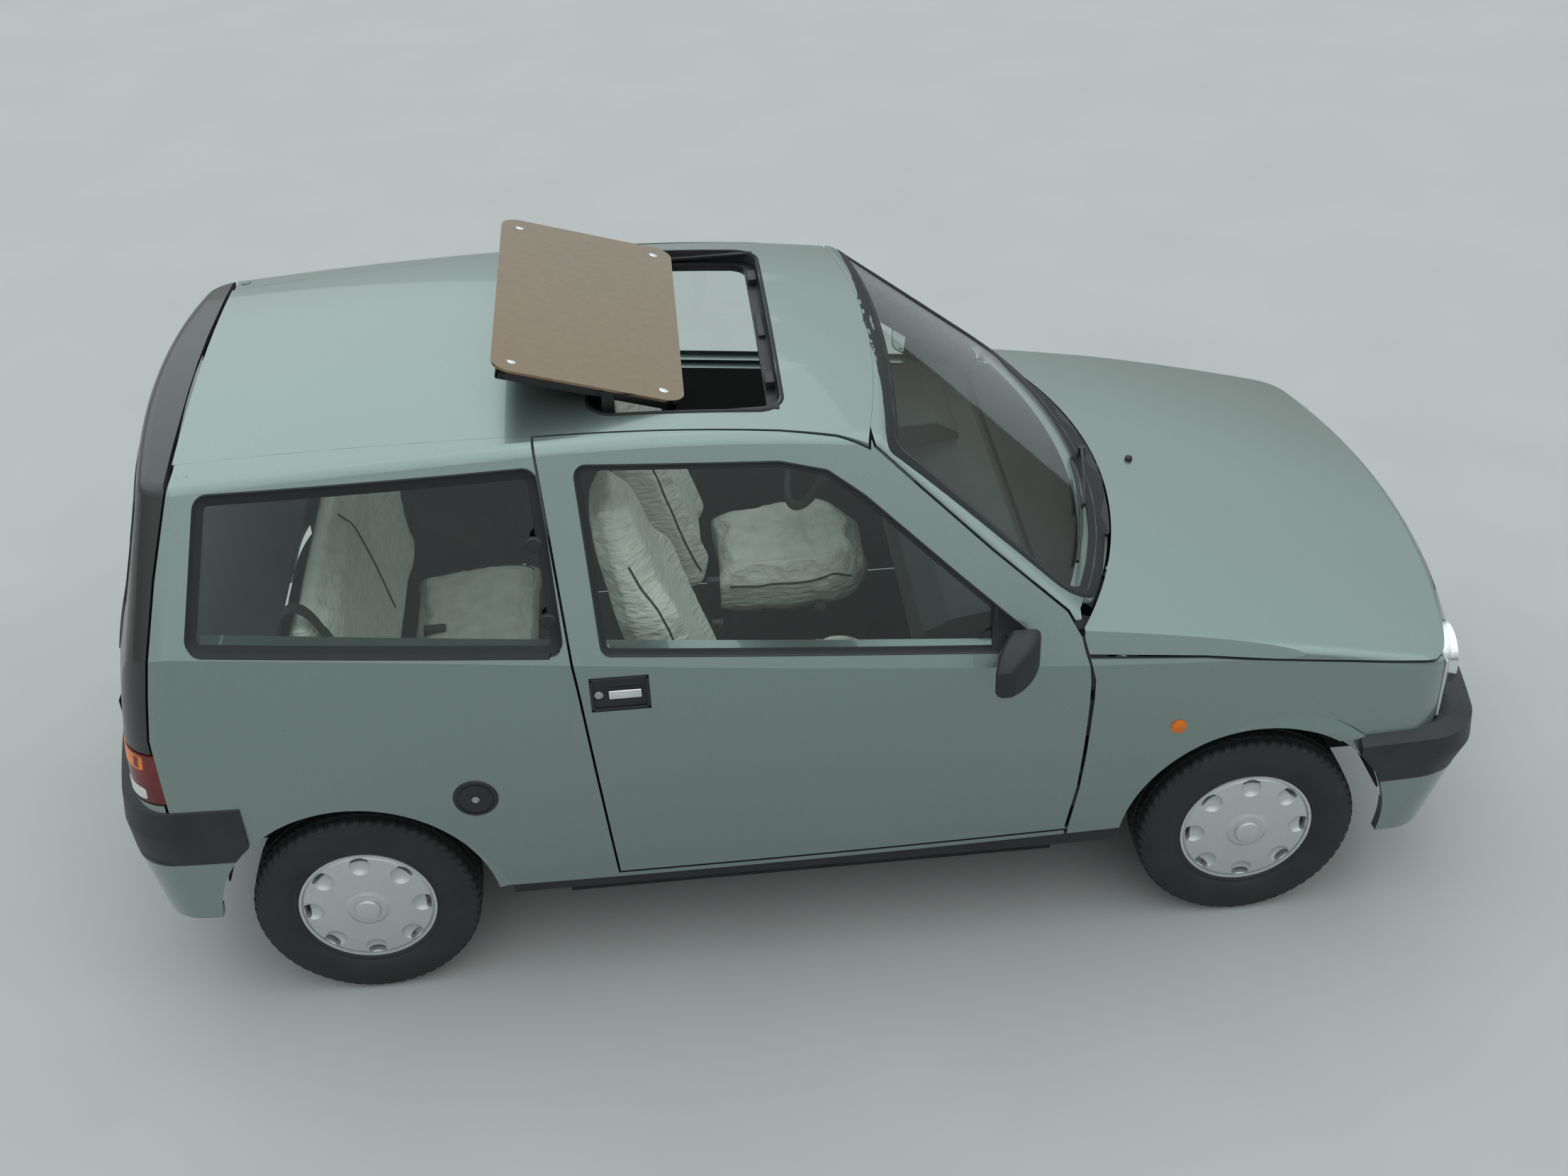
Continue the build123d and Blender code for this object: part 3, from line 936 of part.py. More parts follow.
    sail = (glasshouse(3) - glasshouse(13)) & side_prism(SAIL_OUTLINE, None, -FAR, -300, -SEAT_CLEAR)
    sail &= side_prism(DOOR_WINDOW, WINDOW_ROUND, -FAR, -300, -SEAT_CLEAR)
    faces = []
    for out_y, centre_x, centre_z, length, height, corner in MIRROR_SECTIONS:
        faces.append(Plane.XZ.offset(out_y) * Pos(centre_x, centre_z) * RectangleRounded(length, height, corner))
    housing = loft(faces)
    housing = fillet(housing.faces().sort_by(Axis.Y)[0].edges(), 7)
    stalk = block(442, 482, -MIRROR_SECTIONS[0][0] - 1, -690, 905, 935)
    nodes["mirror_right"] = largest(largest(sail) + housing + stalk)

    pivot_x, pivot_y, pivot_z = WIPER_PIVOT
    wiper = rod((pivot_x, pivot_y, pivot_z - 12), (pivot_x, pivot_y, pivot_z + 22), WIPER_BOSS)
    wiper -= nodes["scuttle_grille"]
    wiper &= block(-FAR, FAR, -FAR, FAR, pivot_z - 4, FAR)
    blade = []
    for step in range(WIPER_BLADE_PARTS + 1):
        share = step / WIPER_BLADE_PARTS
        y = WIPER_BLADE[0][0] + share * (WIPER_BLADE[1][0] - WIPER_BLADE[0][0])
        z = WIPER_BLADE[0][1] + share * (WIPER_BLADE[1][1] - WIPER_BLADE[0][1])
        blade.append((screen_x(y, z), y, z))
    for step in range(WIPER_BLADE_PARTS):
        wiper += rod(blade[step], blade[step + 1], WIPER_RADIUS) + Pos(*blade[step]) * Sphere(WIPER_RADIUS)
    grip = blade[WIPER_BLADE_PARTS // 2]
    grip_top = (grip[0] + 8, grip[1], grip[2] + 10)
    wiper += rod(grip, grip_top, 4)
    knee = (pivot_x - 34, pivot_y - 170, pivot_z + 40)
    wiper += rod((pivot_x, pivot_y, pivot_z + 17), knee, 5) + Pos(*knee) * Sphere(5)
    wiper += rod(knee, grip_top, 4)
    nodes["wiper"] = largest(wiper)


def fuel_filler(nodes):
    """The filler cap, seated in a round pocket of the right side panel."""
    cap_x, cap_z = FUEL_CAP
    place = Pos(cap_x, -FUEL_CAP_SEAT_Y, cap_z) * Rot(90, 0, 0)
    pocket = place * extrude(Circle(FUEL_CAP_RADIUS + 0.5), 60)
    nodes["side_panel_right"] = largest(nodes["side_panel_right"] - pocket)
    cap = extrude(Circle(FUEL_CAP_RADIUS), FUEL_CAP_THICK)
    cap = chamfer(cap.edges().group_by(Axis.Z)[-1], 2)
    cap -= Pos(0, 0, FUEL_CAP_THICK - 2) * extrude(Circle(FUEL_CAP_RADIUS - 9) - Circle(FUEL_CAP_RADIUS - 12), 3)
    cap += extrude(Circle(FUEL_LOCK_RADIUS), FUEL_CAP_THICK + 1.5)
    nodes["fuel_cap"] = place * cap


def main():
    os.makedirs("parts", exist_ok=True)
    nodes = {}
    body_nodes(nodes)
    wheel_nodes(nodes)
    under_nodes(nodes)
    cabin_nodes(nodes)
    for name in list(nodes):
        if name in PAIRED:
            piece = nodes.pop(name)
            nodes[PAIRED[name]] = Compound(children=[piece, mirrored(piece)])
        elif name.endswith("_right"):
            nodes[name.replace("_right", "_left")] = mirrored(nodes[name])
    fuel_filler(nodes)
    for name, shape in nodes.items():
        export_step(shape, "parts/" + name + ".step")


main()
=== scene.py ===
import json
import math

import bpy
from mathutils import Matrix, Vector
from mathutils.bvhtree import BVHTree

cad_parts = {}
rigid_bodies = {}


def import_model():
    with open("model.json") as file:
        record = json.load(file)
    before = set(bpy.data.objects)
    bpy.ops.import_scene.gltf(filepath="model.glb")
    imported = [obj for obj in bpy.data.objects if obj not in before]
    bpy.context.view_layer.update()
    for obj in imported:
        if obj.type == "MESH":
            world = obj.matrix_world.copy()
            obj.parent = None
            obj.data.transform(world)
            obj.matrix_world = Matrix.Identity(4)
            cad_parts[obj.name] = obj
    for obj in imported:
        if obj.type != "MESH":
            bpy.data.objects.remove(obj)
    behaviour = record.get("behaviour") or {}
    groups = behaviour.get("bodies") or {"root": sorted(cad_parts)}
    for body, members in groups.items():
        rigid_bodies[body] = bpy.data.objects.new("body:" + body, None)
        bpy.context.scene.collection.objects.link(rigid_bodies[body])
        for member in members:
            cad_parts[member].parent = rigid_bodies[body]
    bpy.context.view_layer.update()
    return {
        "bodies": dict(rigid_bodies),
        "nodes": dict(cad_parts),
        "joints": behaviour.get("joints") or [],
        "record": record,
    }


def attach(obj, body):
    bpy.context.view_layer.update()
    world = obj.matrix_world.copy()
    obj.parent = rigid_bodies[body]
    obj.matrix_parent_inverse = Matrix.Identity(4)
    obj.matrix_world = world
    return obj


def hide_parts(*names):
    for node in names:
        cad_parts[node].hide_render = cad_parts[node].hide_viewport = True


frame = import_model()
nodes = frame["nodes"]
mm = 0.001

for material in list(bpy.data.materials):
    bpy.data.materials.remove(material)
for node in nodes.values():
    node.data.materials.clear()


# Shared helpers for meshes

def clearSelection():
    for piece in bpy.context.selected_objects:
        piece.select_set(False)


def pick(piece):
    clearSelection()
    piece.select_set(True)
    bpy.context.view_layer.objects.active = piece


def placeInMesh(piece):
    pick(piece)
    bpy.ops.object.transform_apply(location=True, rotation=True, scale=True)


def applyModifier(piece, kind, **settings):
    pick(piece)
    modifier = piece.modifiers.new(kind.lower(), kind)
    for key, value in settings.items():
        setattr(modifier, key, value)
    bpy.ops.object.modifier_apply(modifier=modifier.name)


def smoothEdges(piece, degrees=32):
    pick(piece)
    bpy.ops.object.shade_smooth_by_angle(angle=math.radians(degrees))


mergeGap = 0.00001


def mergeAndFaceOut(piece):
    pick(piece)
    bpy.ops.object.mode_set(mode="EDIT")
    bpy.ops.mesh.select_all(action="SELECT")
    bpy.ops.mesh.remove_doubles(threshold=mergeGap)
    bpy.ops.mesh.normals_make_consistent(inside=False)
    bpy.ops.object.mode_set(mode="OBJECT")


def finishPiece(piece, name, body, material, smooth=32):
    placeInMesh(piece)
    if smooth:
        smoothEdges(piece, smooth)
    piece.name = name
    piece.data.name = name
    piece.data.materials.clear()
    piece.data.materials.append(material)
    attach(piece, body)
    return piece


def copyOf(piece, name):
    twin = piece.copy()
    twin.data = piece.data.copy()
    twin.name = name
    twin.data.name = name
    twin.parent = None
    for key in list(twin.keys()):
        del twin[key]
    bpy.context.scene.collection.objects.link(twin)
    return twin


def mirroredTwin(piece, name, body):
    twin = copyOf(piece, name)
    twin.data.transform(Matrix.Scale(-1, 4, Vector((0, 1, 0))))
    pick(twin)
    bpy.ops.object.mode_set(mode="EDIT")
    bpy.ops.mesh.select_all(action="SELECT")
    bpy.ops.mesh.flip_normals()
    bpy.ops.object.mode_set(mode="OBJECT")
    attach(twin, body)
    return twin


# The right-hand piece and its mirrored twin on the left
def finishPair(piece, name, body, material, twinBody=None):
    finishPiece(piece, name + "Right", body, material)
    mirroredTwin(piece, name + "Left", twinBody or body)


def joinPieces(pieces):
    clearSelection()
    for piece in pieces:
        piece.select_set(True)
    bpy.context.view_layer.objects.active = pieces[0]
    bpy.ops.object.join()
    return pieces[0]


def surfaceOf(meshes):
    points = []
    faces = []
    for mesh in meshes:
        start = len(points)
        points.extend(vertex.co.copy() for vertex in mesh.vertices)
        faces.extend([start + index for index in polygon.vertices] for polygon in mesh.polygons)
    return BVHTree.FromPolygons(points, faces)


def surfaceOfNodes(names):
    return surfaceOf([nodes[name].data for name in names])


def roundBlock(low, high, bevel, segments=3):
    clearSelection()
    centre = [(low[axis] + high[axis]) / 2 * mm for axis in range(3)]
    bpy.ops.mesh.primitive_cube_add(size=1, location=centre)
    piece = bpy.context.object
    piece.scale = [(high[axis] - low[axis]) * mm for axis in range(3)]
    placeInMesh(piece)
    applyModifier(piece, "BEVEL", width=bevel * mm, segments=segments, limit_method="NONE")
    return piece


def turnedPiece(centre, direction, steps, sides=40):
    clearSelection()
    bpy.ops.mesh.primitive_circle_add(vertices=sides, radius=steps[0][0] * mm, fill_type="NGON")
    piece = bpy.context.object
    bpy.ops.object.mode_set(mode="EDIT")
    bpy.ops.mesh.select_all(action="SELECT")
    radius, height = steps[0]
    for nextRadius, nextHeight in steps[1:]:
        rise = (nextHeight - height) * mm
        bpy.ops.mesh.extrude_region_move(TRANSFORM_OT_translate={"value": (0, 0, rise)})
        ratio = nextRadius / radius
        bpy.ops.transform.resize(value=(ratio, ratio, 1), center_override=(0, 0, nextHeight * mm))
        radius, height = nextRadius, nextHeight
    bpy.ops.mesh.select_all(action="SELECT")
    bpy.ops.mesh.normals_make_consistent(inside=False)
    bpy.ops.object.mode_set(mode="OBJECT")
    piece.rotation_euler = Vector(direction).to_track_quat("Z", "Y").to_euler()
    piece.location = [part * mm for part in centre]
    placeInMesh(piece)
    return piece


def tubeAlong(points, radius):
    clearSelection()
    bpy.ops.curve.primitive_nurbs_path_add()
    piece = bpy.context.object
    curve = piece.data
    curve.splines.clear()
    spline = curve.splines.new("NURBS")
    spline.points.add(len(points) - 1)
    for point, place in zip(spline.points, points):
        point.co = (place[0], place[1], place[2], 1)
    spline.order_u = 3
    spline.use_endpoint_u = True
    spline.resolution_u = 4
    curve.dimensions = "3D"
    curve.bevel_depth = radius
    curve.bevel_resolution = 2
    curve.use_fill_caps = True
    pick(piece)
    bpy.ops.object.convert(target="MESH")
    mergeAndFaceOut(bpy.context.object)
    return bpy.context.object


# Shared helpers for materials

def newMaterial(name):
    material = bpy.data.materials.new(name)
    material.use_nodes = True
    tree = material.node_tree
    shader = tree.nodes["Principled BSDF"]
    return material, tree, shader


def objectCoordinates(tree, stretch=(1, 1, 1)):
    place = tree.nodes.new("ShaderNodeTexCoord")
    mapping = tree.nodes.new("ShaderNodeMapping")
    mapping.inputs["Scale"].default_value = stretch
    tree.links.new(place.outputs["Object"], mapping.inputs["Vector"])
    return mapping.outputs["Vector"]


def noise(tree, size, detail=3.0, stretch=(1, 1, 1)):
    texture = tree.nodes.new("ShaderNodeTexNoise")
    texture.inputs["Scale"].default_value = 1.0 / size
    texture.inputs["Detail"].default_value = detail
    tree.links.new(objectCoordinates(tree, stretch), texture.inputs["Vector"])
    return texture.outputs["Fac"]


def ramp(tree, value, stops):
    blend = tree.nodes.new("ShaderNodeValToRGB")
    blend.color_ramp.elements[0].position = stops[0][0]
    blend.color_ramp.elements[0].color = (*stops[0][1], 1)
    blend.color_ramp.elements[1].position = stops[1][0]
    blend.color_ramp.elements[1].color = (*stops[1][1], 1)
    for position, colour in stops[2:]:
        element = blend.color_ramp.elements.new(position)
        element.color = (*colour, 1)
    tree.links.new(value, blend.inputs["Fac"])
    return blend.outputs["Color"]


def rangeOf(tree, value, low, high):
    spread = tree.nodes.new("ShaderNodeMapRange")
    spread.inputs["To Min"].default_value = low
    spread.inputs["To Max"].default_value = high
    tree.links.new(value, spread.inputs["Value"])
    return spread.outputs["Result"]


def maths(tree, operation, *values):
    step = tree.nodes.new("ShaderNodeMath")
    step.operation = operation
    for index, value in enumerate(values):
        if isinstance(value, (int, float)):
            step.inputs[index].default_value = value
        else:
            tree.links.new(value, step.inputs[index])
    return step.outputs["Value"]


def mixColours(tree, share, first, second):
    blend = tree.nodes.new("ShaderNodeMix")
    blend.data_type = "RGBA"
    tree.links.new(share, blend.inputs["Factor"])
    for socket, colour in ((6, first), (7, second)):
        if isinstance(colour, tuple):
            blend.inputs[socket].default_value = (*colour, 1)
        else:
            tree.links.new(colour, blend.inputs[socket])
    return blend.outputs[2]


def bumpFrom(tree, shader, height, strength, depth):
    bump = tree.nodes.new("ShaderNodeBump")
    bump.inputs["Strength"].default_value = strength
    bump.inputs["Distance"].default_value = depth
    tree.links.new(height, bump.inputs["Height"])
    tree.links.new(bump.outputs["Normal"], shader.inputs["Normal"])


def mottled(tree, shader, colour, share, size):
    dark = tuple(part * (1 - share) for part in colour)
    light = tuple(min(part * (1 + share), 1) for part in colour)
    blotches = ramp(tree, noise(tree, size), [(0.35, dark), (0.65, light)])
    tree.links.new(blotches, shader.inputs["Base Color"])


# The dark lining shows on faces that look at the middle of the cabin
liningTable = {"cabinCentre": (-0.45, 0, 0.72), "inwardLimit": -0.25, "roughness": 0.85}


# 1 on faces that look into the cabin, 0 on the outside of the shell
def facesInwards(tree, table):
    place = tree.nodes.new("ShaderNodeNewGeometry")
    centre = tree.nodes.new("ShaderNodeVectorMath")
    centre.operation = "SUBTRACT"
    tree.links.new(objectCoordinates(tree), centre.inputs[0])
    centre.inputs[1].default_value = table["cabinCentre"]
    outward = tree.nodes.new("ShaderNodeVectorMath")
    outward.operation = "NORMALIZE"
    tree.links.new(centre.outputs["Vector"], outward.inputs[0])
    both = tree.nodes.new("ShaderNodeVectorMath")
    both.operation = "DOT_PRODUCT"
    tree.links.new(place.outputs["Normal"], both.inputs[0])
    tree.links.new(outward.outputs["Vector"], both.inputs[1])
    return maths(tree, "LESS_THAN", both.outputs["Value"], table["inwardLimit"])


def paintMaterial(name, colour, metallic, roughness, coat, lining=None):
    material, tree, shader = newMaterial(name)
    flake = noise(tree, 0.0012, 2.0)
    dark = tuple(part * 0.9 for part in colour)
    light = tuple(part * 1.12 for part in colour)
    paint = ramp(tree, flake, [(0.3, dark), (0.7, light)])
    gloss = rangeOf(tree, noise(tree, 0.25), roughness - 0.03, roughness + 0.05)
    shader.inputs["Coat Roughness"].default_value = 0.03
    if lining:
        inside = facesInwards(tree, liningTable)
        outside = maths(tree, "SUBTRACT", 1, inside)
        tree.links.new(mixColours(tree, inside, paint, lining), shader.inputs["Base Color"])
        tree.links.new(maths(tree, "MULTIPLY", outside, metallic), shader.inputs["Metallic"])
        tree.links.new(maths(tree, "MULTIPLY", outside, coat), shader.inputs["Coat Weight"])
        matt = maths(tree, "MULTIPLY", inside, liningTable["roughness"])
        tree.links.new(maths(tree, "MAXIMUM", gloss, matt), shader.inputs["Roughness"])
        weave = noise(tree, 0.0015, 3.0)
        bumpFrom(tree, shader, maths(tree, "MULTIPLY", weave, inside), 0.4, 0.0004)
    else:
        tree.links.new(paint, shader.inputs["Base Color"])
        tree.links.new(gloss, shader.inputs["Roughness"])
        shader.inputs["Metallic"].default_value = metallic
        shader.inputs["Coat Weight"].default_value = coat
    return material


def plasticMaterial(name, colour, roughness, grain=0.0006, depth=0.00008, patchy=0.18):
    material, tree, shader = newMaterial(name)
    mottled(tree, shader, colour, patchy, 0.09)
    gloss = rangeOf(tree, noise(tree, 0.05), roughness - 0.06, roughness + 0.06)
    tree.links.new(gloss, shader.inputs["Roughness"])
    bumpFrom(tree, shader, noise(tree, grain, 4.0), 0.35, depth)
    return material


def metalMaterial(name, colour, roughness):
    material, tree, shader = newMaterial(name)
    mottled(tree, shader, colour, 0.06, 0.02)
    shader.inputs["Metallic"].default_value = 1
    gloss = rangeOf(tree, noise(tree, 0.01), roughness - 0.03, roughness + 0.05)
    tree.links.new(gloss, shader.inputs["Roughness"])
    return material


def glassMaterial(name, tint):
    material, tree, shader = newMaterial(name)
    output = tree.nodes["Material Output"]
    see = tree.nodes.new("ShaderNodeBsdfTransparent")
    see.inputs["Color"].default_value = (*tint, 1)
    gloss = tree.nodes.new("ShaderNodeBsdfGlossy")
    gloss.inputs["Roughness"].default_value = 0.01
    blend = tree.nodes.new("ShaderNodeMixShader")
    edge = tree.nodes.new("ShaderNodeLayerWeight")
    edge.inputs["Blend"].default_value = 0.5
    grazing = maths(tree, "POWER", edge.outputs["Facing"], 5.0)
    mirrored = maths(tree, "MULTIPLY_ADD", grazing, 0.8, 0.03)  # 3% straight on, 83% at a glancing angle
    tree.links.new(mirrored, blend.inputs["Fac"])
    tree.links.new(see.outputs["BSDF"], blend.inputs[1])
    tree.links.new(gloss.outputs["BSDF"], blend.inputs[2])
    tree.links.new(blend.outputs["Shader"], output.inputs["Surface"])
    tree.nodes.remove(shader)
    return material


def seatMaterial(name, colour):
    material, tree, shader = newMaterial(name)
    shade = noise(tree, 0.05, 4.0, (1, 1, 2.2))
    dark = tuple(part * 0.86 for part in colour)
    tree.links.new(ramp(tree, shade, [(0.35, dark), (0.6, colour)]), shader.inputs["Base Color"])
    tree.links.new(rangeOf(tree, noise(tree, 0.03), 0.42, 0.58), shader.inputs["Roughness"])
    shader.inputs["Sheen Weight"].default_value = 0.15
    folds = noise(tree, 0.028, 3.0, (1, 0.55, 2.4))
    grain = noise(tree, 0.0018, 2.0)
    bumpFrom(tree, shader, maths(tree, "ADD", folds, maths(tree, "MULTIPLY", grain, 0.06)), 0.9, 0.011)
    return material


sagePaint = (0.225, 0.288, 0.268)
darkLining = (0.020, 0.020, 0.021)
bodyPaint = paintMaterial("sageMetallicPaint", sagePaint, 0.78, 0.33, 1.0)
shellPaint = paintMaterial("sageMetallicShell", sagePaint, 0.78, 0.33, 1.0, darkLining)
blackPaint = paintMaterial("satinBlackShell", (0.010, 0.012, 0.011), 0.0, 0.32, 0.4, darkLining)
bumperPlastic = plasticMaterial("grainedBumperPlastic", (0.016, 0.017, 0.019), 0.48)
darkPlastic = plasticMaterial("darkTrimPlastic", (0.012, 0.012, 0.013), 0.42)
rubber = plasticMaterial("windowRubber", (0.006, 0.006, 0.007), 0.6, 0.0009)
dashPlastic = plasticMaterial("dashPlastic", (0.018, 0.018, 0.019), 0.62, 0.0012, 0.00015)
underSteel = plasticMaterial("underbodyCoat", (0.012, 0.012, 0.012), 0.8, 0.003, 0.0004)
engineIron = plasticMaterial("engineCasting", (0.12, 0.12, 0.12), 0.6, 0.002, 0.0004)
tyreRubber = plasticMaterial("tyreRubber", (0.016, 0.016, 0.017), 0.66, 0.0012, 0.0002)
wheelSilver = paintMaterial("wheelCoverSilver", (0.52, 0.53, 0.54), 0.45, 0.30, 0.3)
seatLeather = seatMaterial("creamSeatLeather", (0.86, 0.84, 0.77))
pipingTeal = plasticMaterial("darkTealPiping", (0.012, 0.030, 0.035), 0.5)
webbing = plasticMaterial("blackSeatBeltWebbing", (0.012, 0.012, 0.012), 0.7, 0.0008, 0.0003)
windowGlass = glassMaterial("tintedWindowGlass", (0.93, 0.965, 0.95))
lampGlass = glassMaterial("clearLampGlass", (0.96, 0.97, 0.98))
tailPlastic = plasticMaterial("smokedRedLampPlastic", (0.13, 0.008, 0.008), 0.14, 0.004, 0.0002)
amberPlastic = plasticMaterial("amberLampPlastic", (0.72, 0.17, 0.008), 0.16, 0.004, 0.0002)
chrome = metalMaterial("brightMetal", (0.80, 0.81, 0.82), 0.14)
brushedMetal = metalMaterial("dullMetal", (0.42, 0.43, 0.43), 0.34)
bronzeMirror = metalMaterial("bronzeMirrorGlass", (0.25, 0.145, 0.06), 0.03)
bronzeShader = bronzeMirror.node_tree.nodes["Principled BSDF"]
bronzeShader.inputs["Coat Weight"].default_value = 1
bronzeShader.inputs["Coat IOR"].default_value = 1.6
bronzeShader.inputs["Coat Roughness"].default_value = 0.01
plateWhite = plasticMaterial("blankPlate", (0.66, 0.66, 0.64), 0.4, 0.004, 0.00003, 0.02)
carpet = plasticMaterial("floorCarpet", (0.014, 0.014, 0.015), 0.95, 0.0015, 0.0008)

nodeMaterials = {
    "bonnet": bodyPaint, "door_": shellPaint, "side_panel": shellPaint, "roof_panel": shellPaint,
    "wing_": bodyPaint, "windscreen_frame": shellPaint, "front_valance": bodyPaint,
    "rear_valance": bodyPaint, "rear_panel": shellPaint, "tailgate": blackPaint,
    "front_bumper": bumperPlastic, "rear_bumper": bumperPlastic, "grille": darkPlastic,
    "scuttle_grille": darkPlastic, "sills": darkPlastic, "mirror_": darkPlastic,
    "sunroof_frame": darkPlastic, "wiper": darkPlastic, "door_glass": windowGlass,
    "quarter_windows": windowGlass, "windscreen": windowGlass, "rear_glass": windowGlass,
    "sunroof_glass": bronzeMirror, "headlamps": lampGlass, "tail_lamps": tailPlastic,
    "dashboard": dashPlastic, "parcel_shelf": dashPlastic, "seat_bases": dashPlastic,
    "steering_wheel": dashPlastic, "front_seat": seatLeather, "rear_seat": seatLeather,
    "floor_pan": carpet, "inner_wings": underSteel, "fuel_tank": underSteel,
    "front_suspension": underSteel, "rear_axle": underSteel, "exhaust": underSteel,
    "knuckle_": underSteel, "engine": engineIron, "tyre_": tyreRubber, "wheel_": wheelSilver,
    "fuel_cap": darkPlastic,
}
for name, node in nodes.items():
    matches = [key for key in nodeMaterials if name.startswith(key)]
    node.data.materials.append(nodeMaterials[max(matches, key=len)])
print("materials on", len(nodes), "nodes")


# Camera, lamps and floor

cameraPlace = {
    "x": -0.27640289, "y": -4.11430882, "z": 3.46041063, "yaw": 3.68435821, "pitch": 34.5741888,
    "roll": -2.5526876, "focal": 2665.29258, "imageWidth": 2212, "sensor": 36.0,
}


def makeCamera(place):
    yaw = math.radians(place["yaw"])
    pitch = math.radians(place["pitch"])
    roll = math.radians(place["roll"])
    forward = Vector((math.sin(yaw) * math.cos(pitch), math.cos(yaw) * math.cos(pitch), -math.sin(pitch)))
    level = Vector((math.cos(yaw), -math.sin(yaw), 0))
    upright = level.cross(forward)
    right = math.cos(roll) * level + math.sin(roll) * upright
    up = -math.sin(roll) * level + math.cos(roll) * upright
    bpy.ops.object.camera_add(location=(place["x"], place["y"], place["z"]))
    camera = bpy.context.object
    turn = Matrix((right, up, -forward)).transposed()
    camera.rotation_euler = turn.to_euler()
    camera.data.sensor_width = place["sensor"]
    camera.data.lens = place["focal"] * place["sensor"] / place["imageWidth"]
    bpy.context.scene.camera = camera


# Soft suns: where each shines from, its strength, its spread in degrees and its colour
lampTable = {
    "rightFront": {"from": (0.4, -0.5, 1.2), "power": 0.45, "spread": 80, "colour": (1.0, 0.98, 0.95)},
    "leftRear": {"from": (-0.6, 0.8, 1.1), "power": 0.5, "spread": 80, "colour": (0.92, 0.97, 1.0)},
}


def makeLamps(table):
    for name, lamp in table.items():
        bpy.ops.object.light_add(type="SUN", location=[part * 6 for part in lamp["from"]])
        light = bpy.context.object
        light.name = name + "Lamp"
        light.data.energy = lamp["power"]
        light.data.angle = math.radians(lamp["spread"])
        light.data.color = lamp["colour"]
        light.rotation_euler = (-Vector(lamp["from"])).to_track_quat("-Z", "Y").to_euler()


skyTable = {
    "seen": (0.93, 0.94, 0.95), "overhead": (1.0, 1.13, 1.15), "middle": (0.70, 0.78, 0.78),
    "horizon": (0.26, 0.255, 0.225), "below": (0.16, 0.165, 0.155), "strength": 0.95,
}


def makeSky(table):
    world = bpy.data.worlds.new("studioSky")
    bpy.context.scene.world = world
    world.use_nodes = True
    tree = world.node_tree
    output = tree.nodes["World Output"]
    light = tree.nodes["Background"]
    place = tree.nodes.new("ShaderNodeTexCoord")
    split = tree.nodes.new("ShaderNodeSeparateXYZ")
    tree.links.new(place.outputs["Generated"], split.inputs["Vector"])
    height = rangeOf(tree, split.outputs["Z"], 0.0, 1.0)
    height.node.inputs["From Min"].default_value = -1.0
    low = [(0.47, table["below"]), (0.53, table["horizon"])]
    high = [(0.66, table["middle"]), (0.88, table["overhead"])]
    tree.links.new(ramp(tree, height, low + high), light.inputs["Color"])
    light.inputs["Strength"].default_value = table["strength"]
    seen = tree.nodes.new("ShaderNodeBackground")
    seen.inputs["Color"].default_value = (*table["seen"], 1)
    path = tree.nodes.new("ShaderNodeLightPath")
    both = maths(tree, "MAXIMUM", path.outputs["Is Camera Ray"], path.outputs["Is Transmission Ray"])
    blend = tree.nodes.new("ShaderNodeMixShader")
    tree.links.new(both, blend.inputs["Fac"])
    tree.links.new(light.outputs["Background"], blend.inputs[1])
    tree.links.new(seen.outputs["Background"], blend.inputs[2])
    tree.links.new(blend.outputs["Shader"], output.inputs["Surface"])


floorTable = {"radius": 40, "height": -0.0005, "colour": (0.44, 0.44, 0.435)}


def makeFloor(table):
    clearSelection()
    bpy.ops.mesh.primitive_circle_add(vertices=128, radius=table["radius"], fill_type="NGON",
                                      location=(0, 0, table["height"]))
    floor = bpy.context.object
    floor.name = "studioFloor"
    material, tree, shader = newMaterial("paleFloor")
    mottled(tree, shader, table["colour"], 0.02, 0.6)
    shader.inputs["Roughness"].default_value = 0.9
    shader.inputs["Specular IOR Level"].default_value = 0.2
    floor.data.materials.append(material)


makeCamera(cameraPlace)
makeLamps(lampTable)
makeSky(skyTable)
makeFloor(floorTable)
bpy.context.scene.view_settings.view_transform = "Standard"
print("camera, lamps, sky and floor are in place")


# Rubbers and black borders round the panes, laid on the panels and the glass themselves
# outline: the pane's edge as seen from that side; profile: how far out from the edge, and how high

